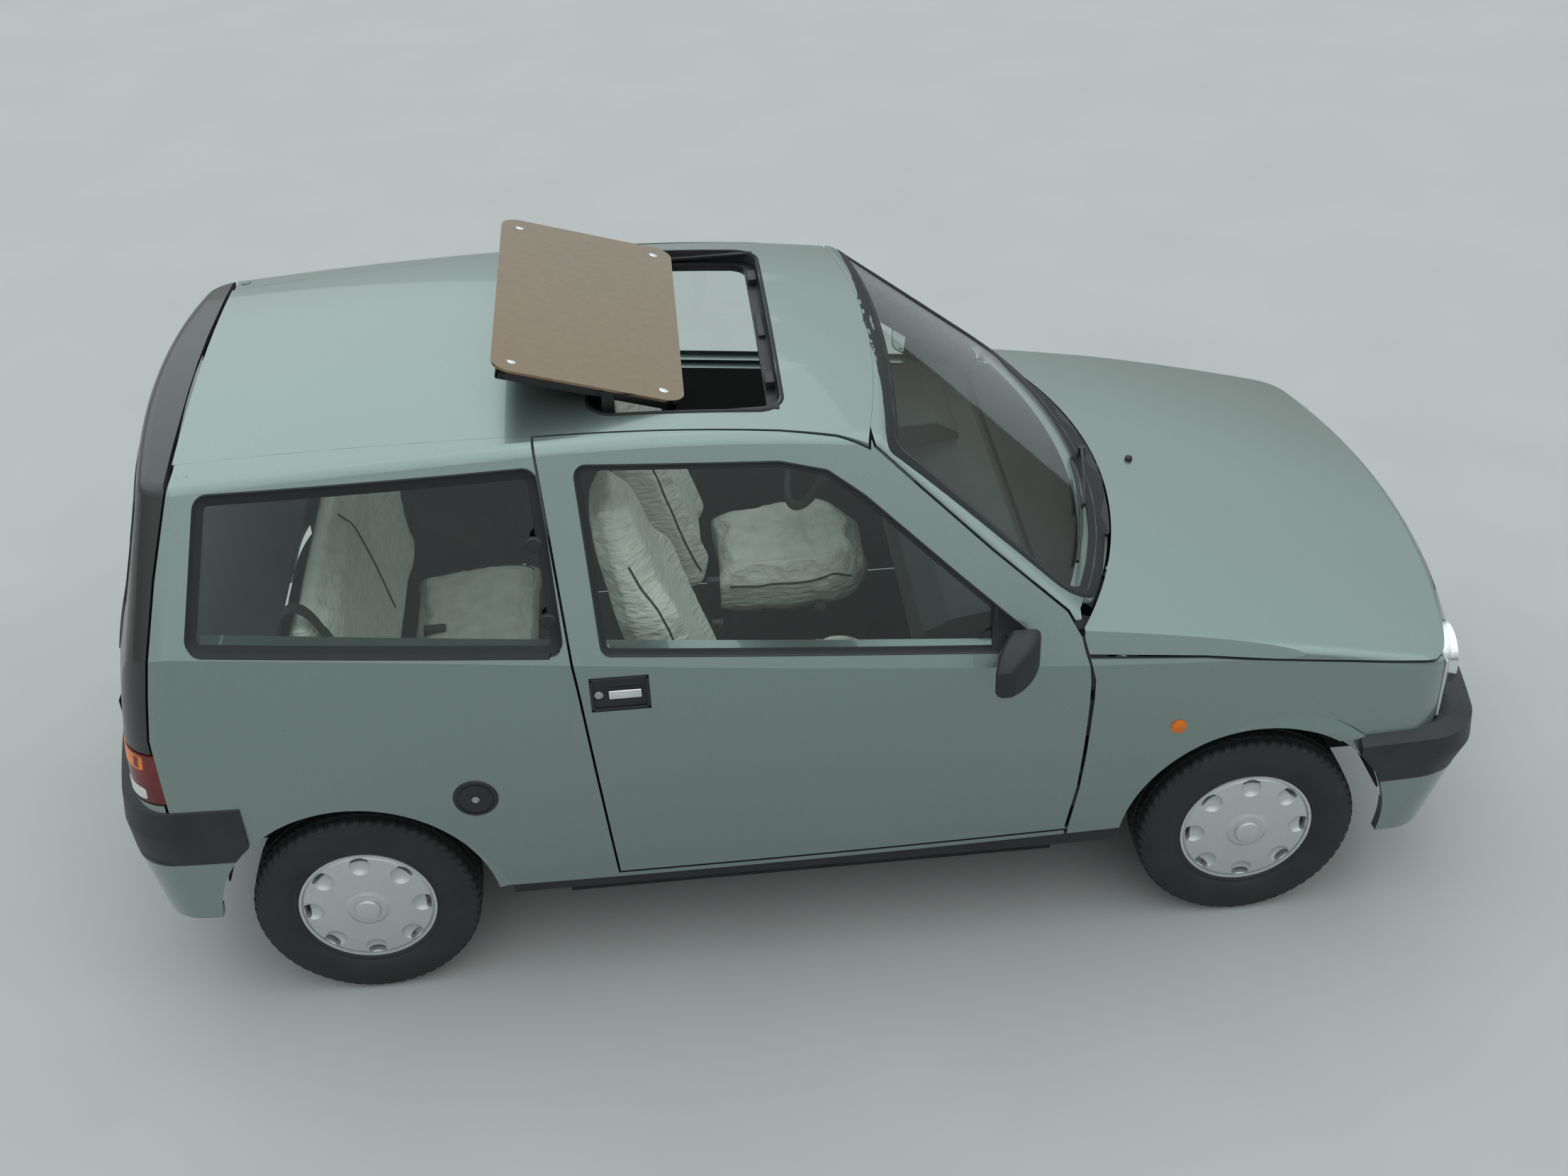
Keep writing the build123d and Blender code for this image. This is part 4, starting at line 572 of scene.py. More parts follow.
rubberTable = {
    "doorWindowRubber": {
        "view": "side", "nodes": ["door_right", "door_glass_right"],
        "body": "door_right", "twinBody": "door_left",
        "outline": [(-467, 982), (-495, 1362), (-44, 1330), (60, 1303), (140, 1245), (343, 1062), (545, 885)],
        "corner": 22, "profile": [(3, 0.3), (2, 2.0), (-3, 2.4), (-6, 0.8), (-10, 1.6), (-12, 0.4)],
    },
    "quarterWindowRubber": {
        "view": "side", "nodes": ["side_panel_right", "quarter_windows"], "body": "body", "twinBody": "body",
        "outline": [(-579, 1362), (-554, 988), (-1365, 1058), (-1312, 1353)],
        "corner": 30, "profile": [(5, 0.3), (3, 2.6), (-4, 3.0), (-7, 1.0), (-19, 0.8), (-20, 0.2)],
    },
    "windscreenRubber": {
        "view": "front", "nodes": ["windscreen", "windscreen_frame", "scuttle_grille", "roof_panel"],
        "body": "body", "twinBody": None,
        "outline": [(y, 938 + 20 * (y / 640) ** 2) for y in (-640, -480, -320, -160, 0, 160, 320, 480, 640)]
        + [(y, 1368 - 33 * (y / 505) ** 2) for y in (505, 380, 250, 120, 0, -120, -250, -380, -505)],
        "corner": 40, "profile": [(18, 0.3), (16, 2.0), (8, 2.6), (2, 1.2), (-3, 3.0), (-9, 2.4), (-11, 0.4)],
    },
    "rearGlassRubber": {
        "view": "rear", "nodes": ["tailgate", "rear_glass"], "body": "tailgate", "twinBody": None,
        "outline": [(-548, 962), (548, 962), (480, 1317), (-480, 1317)],
        "corner": 40, "profile": [(6, 0.4), (4, 3.2), (-4, 3.6), (-8, 1.0), (-16, 2.2), (-18, 0.5)],
    },
    "roofOpeningRubber": {
        "view": "top", "nodes": ["roof_panel"], "body": "body", "twinBody": None,
        "outline": [(-25, -423), (-25, 423), (-455, 423), (-455, -423)],
        "corner": 55, "profile": [(9, 0.3), (8, 2.4), (3, 3.4), (1, 2.4)],
    },
}


def roundedOutline(points, corner, gap=14, steps=6):
    rounded = []
    for index, point in enumerate(points):
        here = Vector(point)
        before = Vector(points[index - 1]) - here
        after = Vector(points[(index + 1) % len(points)]) - here
        bend = before.angle(after)
        reach = min(corner / math.tan(bend / 2), before.length * 0.45, after.length * 0.45)
        radius = reach * math.tan(bend / 2)
        start = here + before.normalized() * reach
        end = here + after.normalized() * reach
        middle = before.normalized() + after.normalized()
        if middle.length < 0.02:
            rounded.append(here)
            continue
        centre = here + middle.normalized() * (radius / math.sin(bend / 2))
        for step in range(steps + 1):
            arm = (start - centre).lerp(end - centre, step / steps)
            rounded.append(centre + arm.normalized() * radius)
    dense = []
    for index, point in enumerate(rounded):
        following = rounded[(index + 1) % len(rounded)]
        parts = max(1, round((following - point).length / gap))
        dense.extend(point.lerp(following, part / parts) for part in range(parts))
    return dense


def outwardNormals(points):
    area = sum(before.x * here.y - here.x * before.y for before, here in zip(points[-1:] + points, points))
    sign = 1 if area > 0 else -1
    normals = []
    for index in range(len(points)):
        along = points[(index + 1) % len(points)] - points[index - 1]
        normals.append(Vector((along.y, -along.x)).normalized() * sign)
    return normals


viewTable = {
    "side": {"start": lambda u, v: Vector((u, -2.0, v)), "direction": Vector((0, 1, 0))},
    "top": {"start": lambda u, v: Vector((u, v, 2.5)), "direction": Vector((0, 0, -1))},
    "rear": {"start": lambda u, v: Vector((-3.0, u, v)), "direction": Vector((1, 0, 0))},
    "front": {"start": lambda u, v: Vector((3.0, u, v)), "direction": Vector((-1, 0, 0))},
}


def ribbonGrid(columns, rows, closed):
    clearSelection()
    bpy.ops.mesh.primitive_grid_add(x_subdivisions=columns, y_subdivisions=rows, size=1)
    piece = bpy.context.object
    order = []
    for vertex in piece.data.vertices:
        column = round((vertex.co.x + 0.5) * columns)
        row = round((vertex.co.y + 0.5) * rows)
        order.append((column % columns if closed else column, row))
    return piece, order


def makeRubber(name, table):
    surface = surfaceOfNodes(table["nodes"])
    outline = roundedOutline(table["outline"], table["corner"])
    normals = outwardNormals(outline)
    view = viewTable[table["view"]]
    profile = table["profile"]
    rows = []
    for offset, lift in profile:
        places = []
        for point, normal in zip(outline, normals):
            spot = (point + normal * offset) * mm
            hit = surface.ray_cast(view["start"](spot.x, spot.y), view["direction"])[0]
            places.append(hit)
        known = [index for index, hit in enumerate(places) if hit is not None]
        for index, hit in enumerate(places):
            if hit is None:
                around = len(places)
                near = min(known, key=lambda other: min(abs(other - index), around - abs(other - index)))
                places[index] = places[near]
        rows.append([hit - view["direction"] * lift * mm for hit in places])
    piece, order = ribbonGrid(len(outline), len(profile) - 1, True)
    for vertex, (column, row) in zip(piece.data.vertices, order):
        vertex.co = rows[row][column]
    mergeAndFaceOut(piece)
    applyModifier(piece, "SOLIDIFY", thickness=0.0016, offset=-1)
    mergeAndFaceOut(piece)
    label = name + "Right" if table["twinBody"] else name
    finishPiece(piece, label, table["body"], rubber, 40)
    if table["twinBody"]:
        mirroredTwin(piece, name + "Left", table["twinBody"])


for rubberName, rubberSpec in rubberTable.items():
    makeRubber(rubberName, rubberSpec)
print("window rubbers are on")


# Tyres: worn road tread, four grooves round and fine cuts across the shoulders
# section: radius, distance from the middle, and how deep a cut goes there; shares and cuts: one tread pitch

tyreTable = {
    "radius": 272, "centreY": 640, "pitches": 60, "cutDepth": 3.5, "cutLean": 0.35,
    "axles": {"front": 1062, "rear": -1097},
    "shares": (0.0, 0.50, 0.56, 0.92), "cuts": (0, 0, 1, 1),
    "section": [
        (166, 62, 0), (172, 66, 0), (178, 66, 0), (182, 69, 0), (196, 74, 0), (210, 76.5, 0),
        (225, 77.5, 0), (240, 76, 0), (250, 73, 0), (256, 71, 0), (258, 70.5, 1), (265, 66, 2),
        (269, 60, 2), (270.6, 52, 2), (270.9, 46, 2), (265, 44, 0), (265, 39, 0), (271.3, 37, 2),
        (271.8, 20, 1), (271.8, 17.5, 1), (265.8, 15.5, 0), (265.8, 11, 0), (272, 9, 0),
    ],
}


def makeTyre(table):
    half = table["section"]
    section = half + [(radius, -across, cut) for radius, across, cut in reversed(half)]
    pitches = table["pitches"]
    shares = table["shares"]
    around = pitches * len(shares)
    piece, order = ribbonGrid(around, len(section) - 1, True)
    for vertex, (column, row) in zip(piece.data.vertices, order):
        pitch, part = divmod(column, len(shares))
        radius, across, cut = section[row]
        lean = table["cutLean"] * cut * (1 if across > 0 else -1)
        angle = (pitch + shares[part] + lean) / pitches * 2 * math.pi
        drop = table["cutDepth"] * cut / 2 * table["cuts"][part]
        reach = radius - drop
        vertex.co = Vector((math.cos(angle) * reach, across, math.sin(angle) * reach)) * mm
    mergeAndFaceOut(piece)
    return piece


tyrePattern = makeTyre(tyreTable)
for axle, axleX in tyreTable["axles"].items():
    for side, sign in (("right", -1), ("left", 1)):
        tyre = copyOf(tyrePattern, "roadTyre")
        tyre.location = (axleX * mm, sign * tyreTable["centreY"] * mm, tyreTable["radius"] * mm)
        body = axle + "_wheel_" + side
        label = "roadTyre" + axle.capitalize() + side.capitalize()
        finishPiece(tyre, label, body, tyreRubber, 28)
        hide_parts("tyre_" + axle + "_" + side)
bpy.data.objects.remove(tyrePattern)
print("tyres are on")


# Small turned parts: centre, the way each faces, and its steps of radius and height

clipSteps = [(17, -6), (17, 5), (14, 8), (1, 8.5)]
turnedTable = {
    "sideRepeaterRight": {
        "at": (855, -733.2, 641), "face": (0, -1, 0), "body": "body", "slot": "tail_lamp_plastic",
        "steps": [(19, -1), (19, 1.5), (17, 2), (17, 4.5), (13, 7), (6, 8.2), (1, 8.5)],
        "material": amberPlastic, "twin": True,
    },
    "fuelLockBarrel": {
        "at": (-792, -752.4, 619), "face": (0, -1, 0), "body": "body", "slot": "wheel_silver",
        "steps": [(9, -1), (9, 1), (8, 1.6), (6, 1.6), (5.5, 1.0), (1, 1.0)],
        "material": brushedMetal, "twin": False,
    },
    "washerNozzle": {
        "at": (902, 31, 916), "face": (0.15, 0, 1), "body": "bonnet", "slot": "black_plastic",
        "steps": [(10, -2), (10, 2.5), (8, 5.5), (4, 7), (1, 7.2)],
        "material": darkPlastic, "twin": False,
    },
    "roofPlug": {
        "at": (-1343, -488, 1377), "face": (-0.05, -0.25, 1), "body": "body", "slot": "body_paint",
        "steps": [(13, -2), (13, 1.2), (11, 1.8), (1, 2)],
        "material": bodyPaint, "twin": True,
    },
    "quarterClipLow": {
        "at": (-577, -722, 1085), "face": (0, -1, 0.18), "body": "body", "slot": "black_plastic",
        "steps": clipSteps, "material": darkPlastic, "twin": True,
    },
    "quarterClipHigh": {
        "at": (-589, -690, 1262), "face": (0, -1, 0.35), "body": "body", "slot": "black_plastic",
        "steps": clipSteps, "material": darkPlastic, "twin": True,
    },
}
for name, spec in turnedTable.items():
    part = turnedPiece(spec["at"], spec["face"], spec["steps"])
    label = name if not spec["twin"] or name.endswith("Right") else name + "Right"
    finishPiece(part, label, spec["body"], spec["material"])
    if spec["twin"]:
        mirroredTwin(part, label[:-5] + "Left", spec["body"])
print("repeaters, fuel lock, nozzle, plugs and clips are on")


# Door handles: a grained tray let into the door, a bright pull lever and a lock

handleTable = {
    "x": (-504, -369), "z": (839, 930), "faceY": 746,
    "lever": {"x": (-462, -388), "z": (874, 897)}, "surround": {"x": (-466, -384), "z": (868, 903)},
    "lock": {"x": -484, "z": 886, "steps": [(10, 0), (10, 4), (8.5, 5), (7, 5), (6.5, 3.8), (1, 3.8)]},
}


def makeHandle(table):
    x0, x1 = table["x"]
    z0, z1 = table["z"]
    face = table["faceY"]
    tray = roundBlock((x0 + 2, -face + 4, z0 + 2), (x1 - 2, -face + 1, z1 - 2), 1.0)
    rim = []
    for low, high in (((x0 + 1, z0 + 1), (x1 - 1, z0 + 8)), ((x0 + 1, z1 - 8), (x1 - 1, z1 - 1)),
                      ((x0 + 1, z0 + 1), (x0 + 9, z1 - 1)), ((x1 - 9, z0 + 1), (x1 - 1, z1 - 1))):
        rim.append(roundBlock((low[0], -face - 2.5, low[1]), (high[0], -face + 4, high[1]), 1.8))
    frame = joinPieces([tray] + rim)
    finishPiece(frame, "handleTrayRight", "door_right", darkPlastic)
    (x0, x1), (z0, z1) = table["lever"]["x"], table["lever"]["z"]
    lever = roundBlock((x0, -face - 6.5, z0), (x1, -face - 1.0, z1), 2.6, 4)
    finishPiece(lever, "handleLeverRight", "door_right", chrome)
    (x0, x1), (z0, z1) = table["surround"]["x"], table["surround"]["z"]
    lip = roundBlock((x0, -face - 1.5, z0), (x1, -face + 2, z1), 1.6)
    finishPiece(lip, "handleLeverSurroundRight", "door_right", rubber)
    barrel = table["lock"]
    lock = turnedPiece((barrel["x"], -face + 1, barrel["z"]), (0, -1, 0), barrel["steps"])
    finishPiece(lock, "doorLockRight", "door_right", brushedMetal)
    for part, slotName in ((frame, "black_plastic"), (lever, "wheel_silver"), (lip, "black_plastic"),
                           (lock, "wheel_silver")):
        mirroredTwin(part, part.name[:-5] + "Left", "door_left")


makeHandle(handleTable)
print("door handles are on")


# Roof glass in its open place: bright screws, a deep black tray under it, and the rails of its frame

roofGlassTable = {
    "front": (-241, 1417), "rear": (-658, 1542), "half": 408, "screwInset": 46,
    "trayDepth": 30, "trayInset": 14, "trayWall": 26,
    "screwSteps": [(12, -0.4), (12, 2), (9.5, 3.6), (4, 4.2), (1, 4.2)],
}


def makeRoofGlassParts(table):
    front = Vector((table["front"][0], 0, table["front"][1]))
    rear = Vector((table["rear"][0], 0, table["rear"][1]))
    along = rear - front
    length = along.length
    tilt = math.atan2(along.z, -along.x)
    inset = table["trayInset"]
    half = table["half"]
    tray = []
    depth = table["trayDepth"]
    width = table["trayWall"]
    for low, high in (((-length + inset, -half + inset), (-inset, -half + inset + width)),
                      ((-length + inset, half - inset - width), (-inset, half - inset)),
                      ((-length + inset, -half + inset), (-length + inset + width, half - inset)),
                      ((-inset - width, -half + inset), (-inset, half - inset))):
        tray.append(roundBlock((low[0], low[1], -depth), (high[0], high[1], -7.5), 5))
    frame = joinPieces(tray)
    rim = inset + 6
    plate = roundBlock((-length + rim, -half + rim, -12), (-rim, half - rim, -8.2), 1.5)
    turn = Matrix.Translation(front * mm) @ Matrix.Rotation(tilt, 4, "Y")
    for part in (frame, plate):
        part.matrix_world = turn
        placeInMesh(part)
    finishPiece(frame, "roofGlassTray", "body", darkPlastic)
    finishPiece(plate, "roofGlassShade", "body", dashPlastic)
    screws = []
    for x in (-table["screwInset"], -length + table["screwInset"]):
        for y in (-half + table["screwInset"], half - table["screwInset"]):
            screw = turnedPiece((x, y, 0), (0, 0, 1), table["screwSteps"], 32)
            screw.matrix_world = turn
            placeInMesh(screw)
            screws.append(screw)
    finishPiece(joinPieces(screws), "roofGlassScrews", "body", chrome)


makeRoofGlassParts(roofGlassTable)
railTable = [
    ((-452, -420, 1389), (-30, -408, 1399)), ((-452, 408, 1389), (-30, 420, 1399)),
    ((-52, -300, 1378), (-30, -246, 1400)), ((-52, 246, 1378), (-30, 300, 1400)),
    ((-50, -60, 1380), (-32, 60, 1398)),
]
rails = joinPieces([roundBlock(low, high, 2.5) for low, high in railTable])
finishPiece(rails, "roofOpeningRails", "body", darkPlastic)
print("roof glass parts are on")


# Seats: each cushion and back is a shaped form, remeshed, blown up as cloth and then piped

seatTable = {
    "voxel": 9, "pressure": 4.0, "frames": 20, "cap": 24, "centreY": -337, "pipingRadius": 3.2,
    "back": {
        "path": [(-262, 520), (-372, 880), (-445, 1192)],
        "halfWidth": [(0, 200), (0.3, 216), (0.55, 212), (0.74, 170), (0.88, 132), (1, 108)],
        "halfThick": [(0, 44), (0.5, 42), (0.8, 34), (1, 22)], "bolster": 24, "bolsterEnd": 0.72,
    },
    "cushion": {
        "path": [(-196, 486), (60, 494), (262, 510)],
        "halfWidth": [(0, 196), (0.4, 220), (0.7, 214), (0.86, 190), (0.95, 150), (1, 110)],
        "halfThick": [(0, 44), (0.4, 52), (0.8, 48), (1, 26)], "bolster": 18, "bolsterEnd": 0.9,
    },
    "benchBack": {
        "path": [(-1062, 520), (-1120, 780), (-1165, 985)],
        "halfWidth": [(0, 470), (0.2, 478), (0.3, 560), (0.7, 574), (1, 540)],
        "halfThick": [(0, 36), (0.5, 38), (1, 26)], "bolster": 10, "bolsterEnd": 0.9,
    },
    "benchCushion": {
        "path": [(-1040, 430), (-850, 432), (-664, 450)],
        "halfWidth": [(0, 440), (0.5, 460), (1, 448)],
        "halfThick": [(0, 40), (0.5, 54), (1, 40)], "bolster": 6, "bolsterEnd": 0.95,
    },
}


def valueAt(stops, share):
    for (low, first), (high, second) in zip(stops, stops[1:]):
        if share <= high:
            return first + (second - first) * max(0.0, (share - low)) / (high - low)
    return stops[-1][1]


def smoothStep(value):
    value = min(max(value, 0.0), 1.0)
    return value * value * (3 - 2 * value)


def pathAt(path, share):
    start, middle, end = (Vector(point) for point in path)
    pull = (middle * 4 - start - end) / 2
    place = start * (1 - share) ** 2 + pull * 2 * share * (1 - share) + end * share ** 2
    along = (pull - start) * (1 - share) + (end - pull) * share
    return place, along.normalized()


def softForm(spec, centreY, upright):
    clearSelection()
    bpy.ops.mesh.primitive_cube_add(size=2)
    piece = bpy.context.object
    bpy.ops.object.mode_set(mode="EDIT")
    bpy.ops.mesh.select_all(action="SELECT")
    bpy.ops.mesh.subdivide(number_cuts=22)
    bpy.ops.object.mode_set(mode="OBJECT")
    for vertex in piece.data.vertices:
        face, across, run = vertex.co
        share = (run + 1) / 2
        place, along = pathAt(spec["path"], share)
        outward = Vector((along.y, -along.x)) if upright else Vector((-along.y, along.x))
        half = valueAt(spec["halfWidth"], share)
        thick = valueAt(spec["halfThick"], share) * (1 - 0.35 * abs(across) ** 4)
        raised = smoothStep((abs(across) - 0.5) / 0.2) * smoothStep((spec["bolsterEnd"] - share) / 0.2)
        lift = spec["bolster"] * raised if face > 0 else 0
        spot = place + outward * (face * thick + lift * max(face, 0))
        vertex.co = Vector((spot.x, centreY + across * half, spot.y)) * mm
    return piece


def padOut(piece, table):
    applyModifier(piece, "REMESH", mode="VOXEL", voxel_size=table["voxel"] * mm)
    applyModifier(piece, "SMOOTH", factor=0.5, iterations=6)
    rest = [vertex.co.copy() for vertex in piece.data.vertices]
    pick(piece)
    cloth = piece.modifiers.new("cloth", "CLOTH")
    cloth.settings.use_pressure = True
    cloth.settings.uniform_pressure_force = table["pressure"]
    cloth.settings.effector_weights.gravity = 0
    cloth.settings.quality = 4
    cloth.point_cache.frame_start = 1
    cloth.point_cache.frame_end = table["frames"]
    for step in range(1, table["frames"] + 1):
        bpy.context.scene.frame_set(step)
    pick(piece)
    bpy.ops.object.modifier_apply(modifier=cloth.name)
    cap = table["cap"] * mm
    for vertex, before in zip(piece.data.vertices, rest):
        moved = vertex.co - before
        if moved.length > cap:
            vertex.co = before + moved.normalized() * cap
    bpy.context.scene.frame_set(1)
    applyModifier(piece, "SUBSURF", levels=1, render_levels=1)


def pipingOn(piece, spec, centreY, upright, sides, shares, name):
    surface = surfaceOf([piece.data])
    tubes = []
    for side in sides:
        points = []
        for step in range(shares[0], shares[1] + 1):
            share = step / 24
            place, along = pathAt(spec["path"], share)
            y = (centreY + side * valueAt(spec["halfWidth"], share)) * mm
            start = Vector((1.0, y, place.y * mm)) if upright else Vector((place.x * mm, y, 2.0))
            direction = Vector((-1, 0, 0)) if upright else Vector((0, 0, -1))
            hit = surface.ray_cast(start, direction)[0]
            if hit:
                points.append(hit - direction * 0.0008)
        tubes.append(tubeAlong(points, seatTable["pipingRadius"] * mm))
    finishPiece(joinPieces(tubes), name, "body", pipingTeal, 60)
    return bpy.data.objects[name]


def seatPart(name, key, centreY, upright):
    spec = seatTable[key]
    piece = softForm(spec, centreY, upright)
    padOut(piece, seatTable)
    finishPiece(piece, name, "body", seatLeather, 80)
    return piece


seatY = seatTable["centreY"]
backRight = seatPart("frontSeatBackRight", "back", seatY, True)
cushionRight = seatPart("frontSeatCushionRight", "cushion", seatY, False)
backPiping = pipingOn(backRight, seatTable["back"], seatY, True, (-0.84, 0.84), (2, 23),
                      "frontSeatBackPipingRight")
cushionPiping = pipingOn(cushionRight, seatTable["cushion"], seatY, False, (-0.88, 0.88), (2, 23),
                         "frontSeatCushionPipingRight")
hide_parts("front_seat_right")
for part in (backRight, cushionRight, backPiping, cushionPiping):
    mirroredTwin(part, part.name[:-5] + "Left", "body")
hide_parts("front_seat_left")
benchBack = seatPart("rearBenchBack", "benchBack", 0, True)
benchCushion = seatPart("rearBenchCushion", "benchCushion", 0, False)
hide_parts("rear_seat")
pipingOn(benchBack, seatTable["benchBack"], 0, True, (-0.86, 0, 0.86), (6, 23), "rearBenchBackPiping")
pipingOn(benchCushion, seatTable["benchCushion"], 0, False, (-0.86, 0, 0.86), (3, 23),
         "rearBenchCushionPiping")
print("seats are in")


# Belts and buckles

beltTable = {
    "rearBeltRight": [(-1205, -505, 930), (-1206, -505, 1000), (-1172, -505, 1034), (-1118, -505, 1000),
                      (-1072, -508, 830), (-1020, -512, 640), (-1000, -514, 540), (-960, -516, 500)],
    "frontBeltRight": [(-540, -545, 1240), (-534, -588, 1100), (-520, -636, 930), (-505, -630, 640),
                       (-480, -610, 420), (-470, -604, 330)],
}
beltWidth = 46


def strapAlong(points, width, name, across):
    piece, order = ribbonGrid(len(points) - 1, 1, False)
    for vertex, (column, row) in zip(piece.data.vertices, order):
        vertex.co = (Vector(points[column]) + Vector(across) * (row - 0.5) * width) * mm
    applyModifier(piece, "SOLIDIFY", thickness=0.0018, offset=0)
    applyModifier(piece, "SUBSURF", levels=2, render_levels=2)
    finishPiece(piece, name, "body", webbing, 60)
    return piece


for beltName, beltPoints in beltTable.items():
    across = (0, 1, 0) if beltName.startswith("rear") else (1, 0, 0)
    belt = strapAlong(beltPoints, beltWidth, beltName, across)
    mirroredTwin(belt, beltName[:-5] + "Left", "body")
buckleTable = {
    "frontBuckle": ((-212, -112, 520), (-178, -86, 600)),
    "rearBuckle": ((-985, -120, 486), (-925, -92, 512)),
}
for buckleName, (low, high) in buckleTable.items():
    finishPair(roundBlock(low, high, 4), buckleName, "body", darkPlastic)
print("belts are in")


# Cabin fittings: gear lever, inner mirror and column stalks

cabinTable = {
    "leverFoot": (130, 0, 300), "leverLean": (-0.18, 0, 1),
    "leverSteps": [(46, 0), (40, 18), (24, 40), (10, 60), (7, 150), (9, 205), (19, 222), (22, 240), (18, 256),
                   (8, 263), (1, 264)],
    "mirrorBody": ((150, -110, 1262), (168, 110, 1318)), "mirrorFoot": ((165, -12, 1290), (196, 12, 1345)),
    "mirrorPane": ((148.4, -103, 1268), (150.2, 103, 1312)),
    "stalkAt": (160, 345, 820), "stalkApart": 30,
    "stalkSteps": [(7, 0), (6, 90), (8, 100), (8, 128), (5, 134), (1, 135)],
}
lever = turnedPiece(cabinTable["leverFoot"], cabinTable["leverLean"], cabinTable["leverSteps"])
finishPiece(lever, "gearLever", "body", darkPlastic)
innerMirror = joinPieces([roundBlock(*cabinTable["mirrorBody"], 7), roundBlock(*cabinTable["mirrorFoot"], 5)])
finishPiece(innerMirror, "innerMirror", "body", darkPlastic)
mirrorPane = roundBlock(*cabinTable["mirrorPane"], 0.8)
finishPiece(mirrorPane, "innerMirrorPane", "body", chrome)
stalkX, stalkY, stalkZ = cabinTable["stalkAt"]
stalks = joinPieces([
    turnedPiece((stalkX, stalkY + side * cabinTable["stalkApart"], stalkZ), (-0.25, side, 0.12),
                cabinTable["stalkSteps"], 16)
    for side in (-1, 1)
])
finishPiece(stalks, "columnStalks", "body", darkPlastic)
print("cabin fittings are in")


# Headlamps: a bright bowl, a bulb cap and a back plate behind each lens

headlampTable = {
    "headlampBowl": {
        "at": (1532, -535, 644), "sides": 48, "material": chrome,
        "steps": [(72, 0), (78, 40), (74, 40), (66, 24), (48, 10), (24, 3), (1, 2)],
    },
    "headlampBulbCap": {
        "at": (1536, -535, 644), "sides": 32, "material": brushedMetal,
        "steps": [(20, 0), (20, 18), (16, 24), (8, 27), (1, 28)],
    },
}
headlampBack = ((1504, -682, 562), (1512, -396, 726))
for name, spec in headlampTable.items():
    part = turnedPiece(spec["at"], (1, 0, 0), spec["steps"], spec["sides"])
    finishPair(part, name, "body", spec["material"])
finishPair(roundBlock(*headlampBack, 2), "headlampBack", "body", wheelSilver)
print("lamp insides are in")


# Number plates, left bare

plateTable = {
    "frontPlate": ((1696.5, -180, 428), (1699.5, 180, 538)),
    "rearPlate": ((-1700, -260, 512), (-1697, 260, 622)),
}
holderRim = 5
holderBehind = 3
for plateName, (low, high) in plateTable.items():
    back = holderBehind if plateName == "rearPlate" else -holderBehind
    holder = roundBlock((low[0] + back, low[1] - holderRim, low[2] - holderRim),
                        (high[0] + back, high[1] + holderRim, high[2] + holderRim), 1.2)
    finishPiece(holder, plateName + "Holder", "body", darkPlastic)
    plate = roundBlock(low, high, 1)
    finishPiece(plate, plateName, "body", plateWhite)
print("plates are on")


# Panes and bellows of the door mirrors

def surfacePatch(name, spec, body, material):
    surface = surfaceOfNodes(spec["nodes"])
    outline = roundedOutline(spec["outline"], spec["corner"], 6)
    centre = sum(outline, Vector((0, 0))) / len(outline)
    shares = [1, 0.97, 0.6, 0.2, 0]
    lifts = [0.1, spec["lift"], spec["lift"], spec["lift"], spec["lift"]]
    piece, order = ribbonGrid(len(outline), len(shares) - 1, True)
    for vertex, (column, row) in zip(piece.data.vertices, order):
        spot = (centre + (outline[column] - centre) * shares[row]) * mm
        hit = surface.ray_cast(spec["start"](spot.x, spot.y), spec["direction"])[0]
        vertex.co = hit - spec["direction"] * lifts[row] * mm
    mergeAndFaceOut(piece)
    applyModifier(piece, "SOLIDIFY", thickness=0.0006, offset=-1)
    return finishPiece(piece, name, body, material, 50)


mirrorPaneTable = {
    "nodes": ["mirror_right"], "corner": 12, "lift": 0.8,
    "outline": [(-764, 892), (-764, 962), (-800, 958), (-836, 920), (-838, 876), (-800, 874)],
    "start": lambda u, v: Vector((0.2, u, v)), "direction": Vector((1, 0, 0)),
}
bellowsTable = {"low": (438, -748, 900), "high": (488, -743, 940), "ribs": 5, "step": 8}
pane = surfacePatch("mirrorPaneRight", mirrorPaneTable, "door_right", chrome)
mirroredTwin(pane, "mirrorPaneLeft", "door_left")
ribs = []
for rib in range(bellowsTable["ribs"]):
    shift = Vector((rib, rib * bellowsTable["step"], rib))
    low = Vector(bellowsTable["low"]) + shift
    high = Vector(bellowsTable["high"]) + Vector((-shift.x, shift.y, -shift.z))
    ribs.append(roundBlock(low, high, 2))
finishPair(joinPieces(ribs), "mirrorBellows", "door_right", rubber, "door_left")
print("mirror panes are in")


# Lens bands and a lock at the back

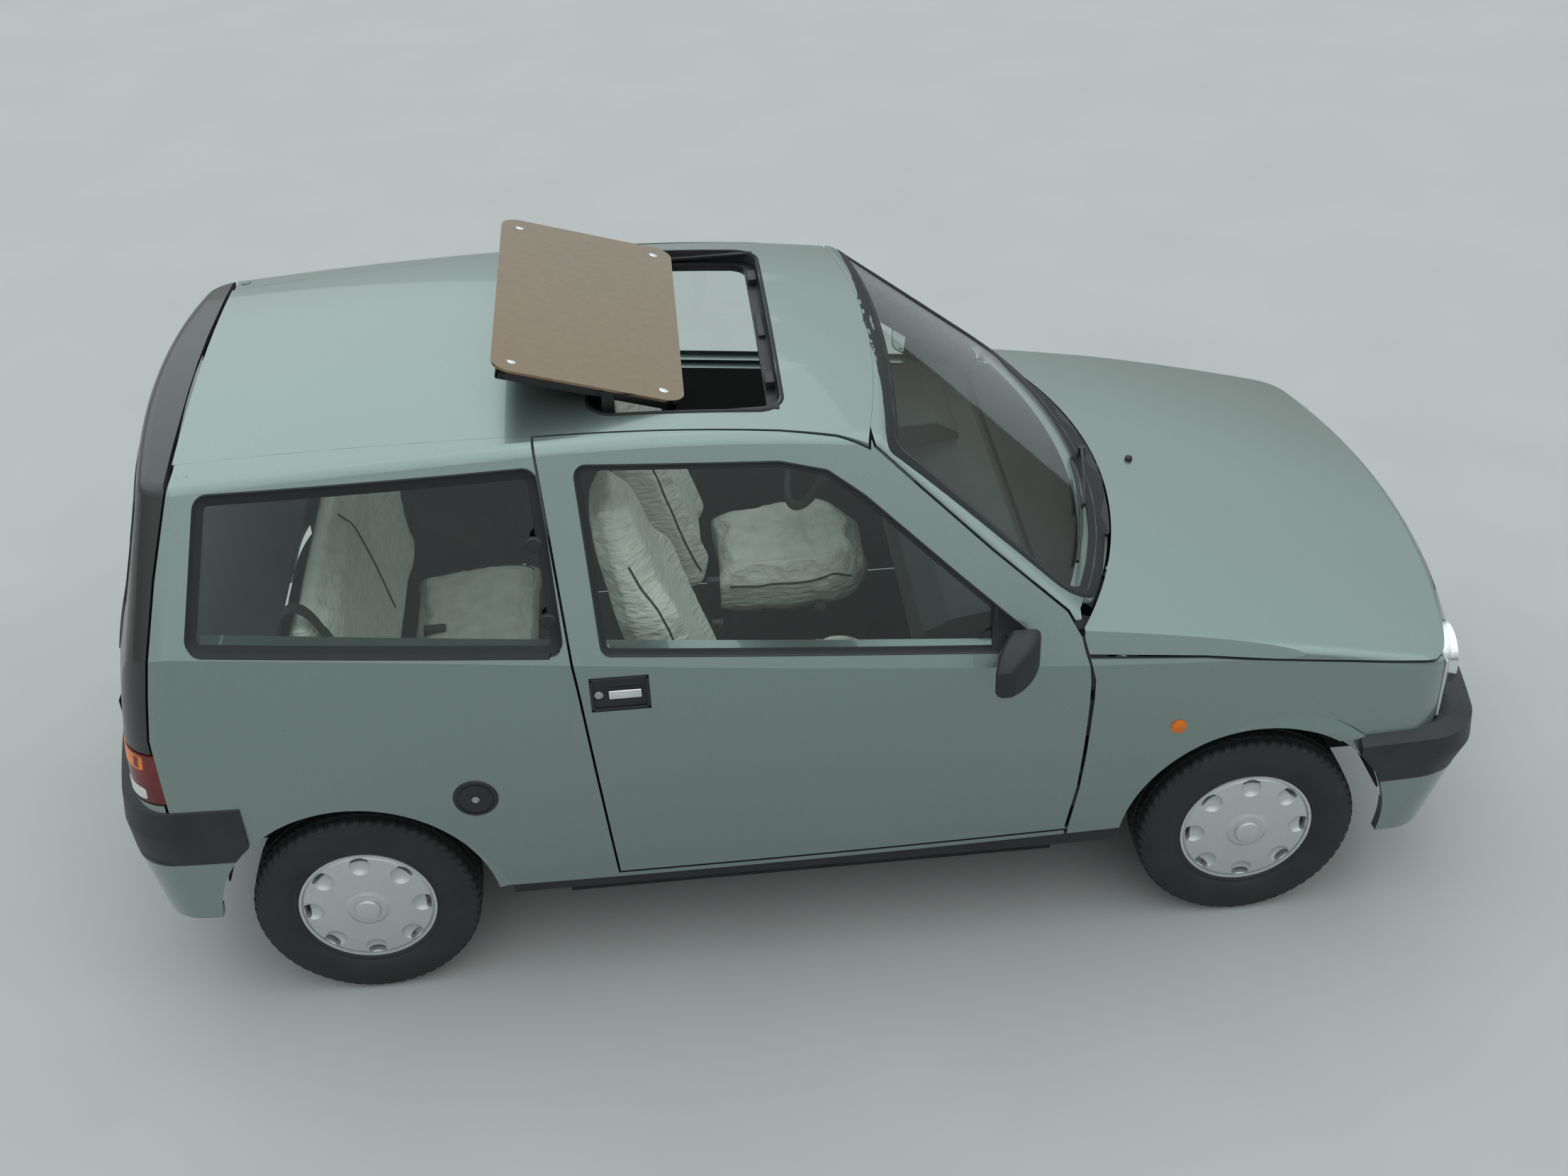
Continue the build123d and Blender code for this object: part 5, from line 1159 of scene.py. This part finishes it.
lensBandTable = {
    "tailAmberBandRight": {
        "outline": [(-712, 752), (-580, 752), (-580, 791), (-712, 791)], "material": amberPlastic,
    },
    "tailClearBandRight": {
        "outline": [(-712, 668), (-646, 668), (-646, 700), (-712, 700)], "material": plateWhite,
    },
}
tailLockTable = {"z": 800, "steps": [(16, 0), (16, 4), (14, 5.5), (9, 5.5), (8, 4), (1, 4)]}
for bandName, band in lensBandTable.items():
    spec = dict(viewTable["rear"], nodes=["tail_lamps"], outline=band["outline"], corner=6, lift=1.6)
    lens = surfacePatch(bandName, spec, "body", band["material"])
    mirroredTwin(lens, bandName[:-5] + "Left", "body")
lockStart = viewTable["rear"]["start"](0, tailLockTable["z"] * mm)
lockSpot = surfaceOfNodes(["tailgate"]).ray_cast(lockStart, viewTable["rear"]["direction"])[0] / mm
tailLock = turnedPiece((lockSpot.x + 2, 0, tailLockTable["z"]), (-1, 0, 0.1), tailLockTable["steps"])
finishPiece(tailLock, "tailgateLock", "tailgate", brushedMetal)
print("rear lenses and lock are on")


# Rockers, tucked in below their upper edge

rockerTable = {
    "low": (-740, -722, 200), "high": (725, -642, 331.4), "bevel": 3,
    "edge": (0, -722, 292), "cutFacing": (0, -0.68, -0.733),
}


def makeRockers(table):
    rocker = roundBlock(table["low"], table["high"], table["bevel"])
    pick(rocker)
    bpy.ops.object.mode_set(mode="EDIT")
    bpy.ops.mesh.select_all(action="SELECT")
    bpy.ops.mesh.bisect(plane_co=[part * mm for part in table["edge"]], plane_no=table["cutFacing"],
                        use_fill=True, clear_outer=True)
    bpy.ops.object.mode_set(mode="OBJECT")
    finishPair(rocker, "rocker", "body", darkPlastic)
    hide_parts("sills")


makeRockers(rockerTable)
print("rockers are on")


# Wheel centre caps

capTable = {"steps": [(31, -4), (31, 2), (28, 5), (14, 7), (1, 7)], "seatHeight": 42}


def makeWheelCap(axle, axleX, side, sign):
    cover = surfaceOfNodes(["wheel_" + axle + "_" + side])
    above = tyreTable["radius"] + capTable["seatHeight"]
    hit = cover.ray_cast(Vector((axleX, sign * 1500, above)) * mm, Vector((0, -sign, 0)))[0]
    cap = turnedPiece((axleX, hit.y / mm, tyreTable["radius"]), (0, sign, 0), capTable["steps"])
    label = "wheelCentreCap" + axle.capitalize() + side.capitalize()
    finishPiece(cap, label, axle + "_wheel_" + side, wheelSilver)


for axle, axleX in tyreTable["axles"].items():
    for side, sign in (("right", -1), ("left", 1)):
        makeWheelCap(axle, axleX, side, sign)
print("wheel centre caps are on")
